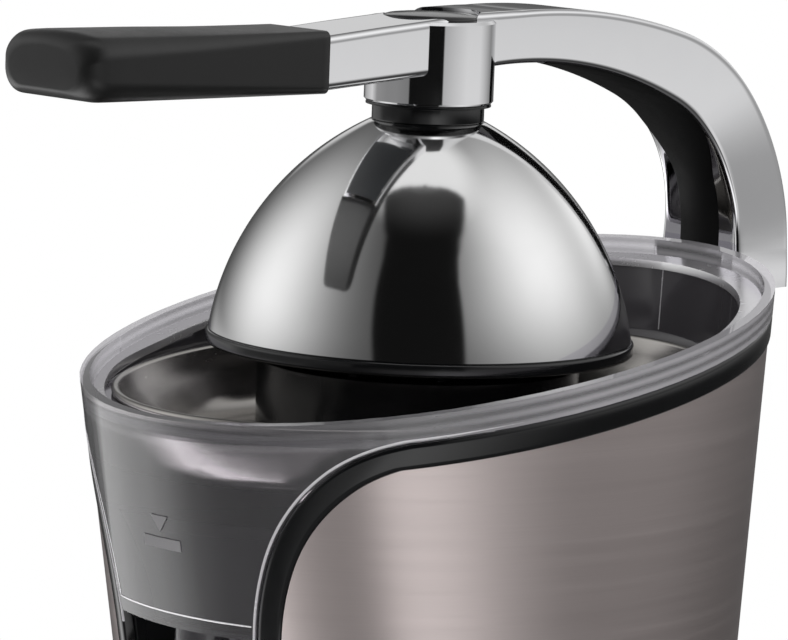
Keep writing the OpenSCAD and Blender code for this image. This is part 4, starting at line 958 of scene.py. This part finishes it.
# Tent with soft panels, a bright roof and back strip, and a dark gap in which the camera stands
def tent_light(bearing, elevation):
    light = TENT_LIGHT
    for power, across, upwards in PANELS:
        light += power * bell(bearing, *across) * bell(elevation, *upwards)
    light += (ROOF_LIGHT - light) * ramp(elevation, 60, 76)
    back = ramp(abs(bearing), 158, 168) * ramp(elevation, 7, 11) * (1 - ramp(elevation, 17, 24))
    light += (BACK_LIGHT - light) * back
    light += (between(LEVEL_LIGHT, bearing) - light) * (1 - ramp(elevation, -4, 1))
    width = between(GAP_LEFT if bearing < 0 else GAP_RIGHT, elevation)
    gap = 1 - ramp(abs(bearing), width - 1, width + 1.5 + 7 * ramp(elevation, 45, 62))
    in_gap = GAP_LIGHT + 0.045 * ramp(elevation, 58, 80) + 0.1 * ramp(elevation, 78, 86)
    light += (in_gap - light) * gap
    edge = -4.5 - 6 * (1 - ramp(bearing, -75, -55))
    light += (between(LOW_LIGHT, bearing) - light) * (1 - ramp(elevation, edge - 6, edge))
    return light + (between(TABLE_LIGHT, bearing) - light) * (1 - ramp(elevation, -35, -32))


# Translucent nylon lit from outside: an even glow that changes softly over the tent
def lit_nylon():
    material = bpy.data.materials.new("nylon_tent_lit")
    material.use_nodes = True
    tree = material.node_tree
    tree.nodes.remove(tree.nodes["Principled BSDF"])
    painted = add(tree, "ShaderNodeAttribute", attribute_name="glow")
    glow = add(tree, "ShaderNodeEmission", {"Color": painted.outputs["Color"]})
    tree.links.new(glow.outputs["Emission"], tree.nodes["Material Output"].inputs["Surface"])
    return material


def light_tent():
    bearings, elevations = range(-180, 180), range(-80, 89)
    points, glow = [], []
    for elevation in elevations:
        for bearing in bearings:
            a, e = radians(bearing + CAMERA_BEARING), radians(elevation)
            level = TENT_REACH * cos(e)
            points.append((level * cos(a), level * sin(a), TENT_REACH * sin(e) + TENT_Z))
            glow.append(tent_light(bearing, elevation))
    points.append((0, 0, TENT_REACH + TENT_Z))
    glow.append(tent_light(180, 90))
    count = len(bearings)
    last = (len(elevations) - 1) * count
    faces = [(last + i, last + (i + 1) % count, last + count) for i in range(count)]
    for low in range(0, last, count):
        high = low + count
        faces += [(low + i, low + (i + 1) % count, high + (i + 1) % count, high + i) for i in range(count)]
    mesh = bpy.data.meshes.new("light_tent")
    mesh.from_pydata(points, [], faces)
    paint = mesh.color_attributes.new("glow", "FLOAT_COLOR", "POINT")
    for spot, value in zip(paint.data, glow):
        spot.color = (value, value, value, 1)
    mesh.materials.append(lit_nylon())
    tent = bpy.data.objects.new("light_tent", mesh)
    scene.collection.objects.link(tent)
    for kind in ("camera", "diffuse", "transmission", "shadow", "volume_scatter"):
        setattr(tent, "visible_" + kind, False)


light_tent()
LAMP_AIM = Vector((0, 0, 0.25))


def soft_lamp(name, place, size, power):
    data = bpy.data.lights.new(name, "AREA")
    data.shape = "SQUARE"
    data.size = size
    data.energy = power
    lamp = bpy.data.objects.new(name, data)
    lamp.location = place
    lamp.rotation_euler = (LAMP_AIM - Vector(place)).to_track_quat("-Z", "Y").to_euler()
    lamp.visible_glossy = False
    scene.collection.objects.link(lamp)


soft_lamp("lamp_over", (0.2, -0.3, 1.9), 1.4, 16)
soft_lamp("lamp_right", (1.6, 0.2, 0.9), 1.0, 8)
soft_lamp("lamp_left", (-0.9, -1.5, 0.9), 1.0, 8)

scene.view_settings.view_transform = "Standard"
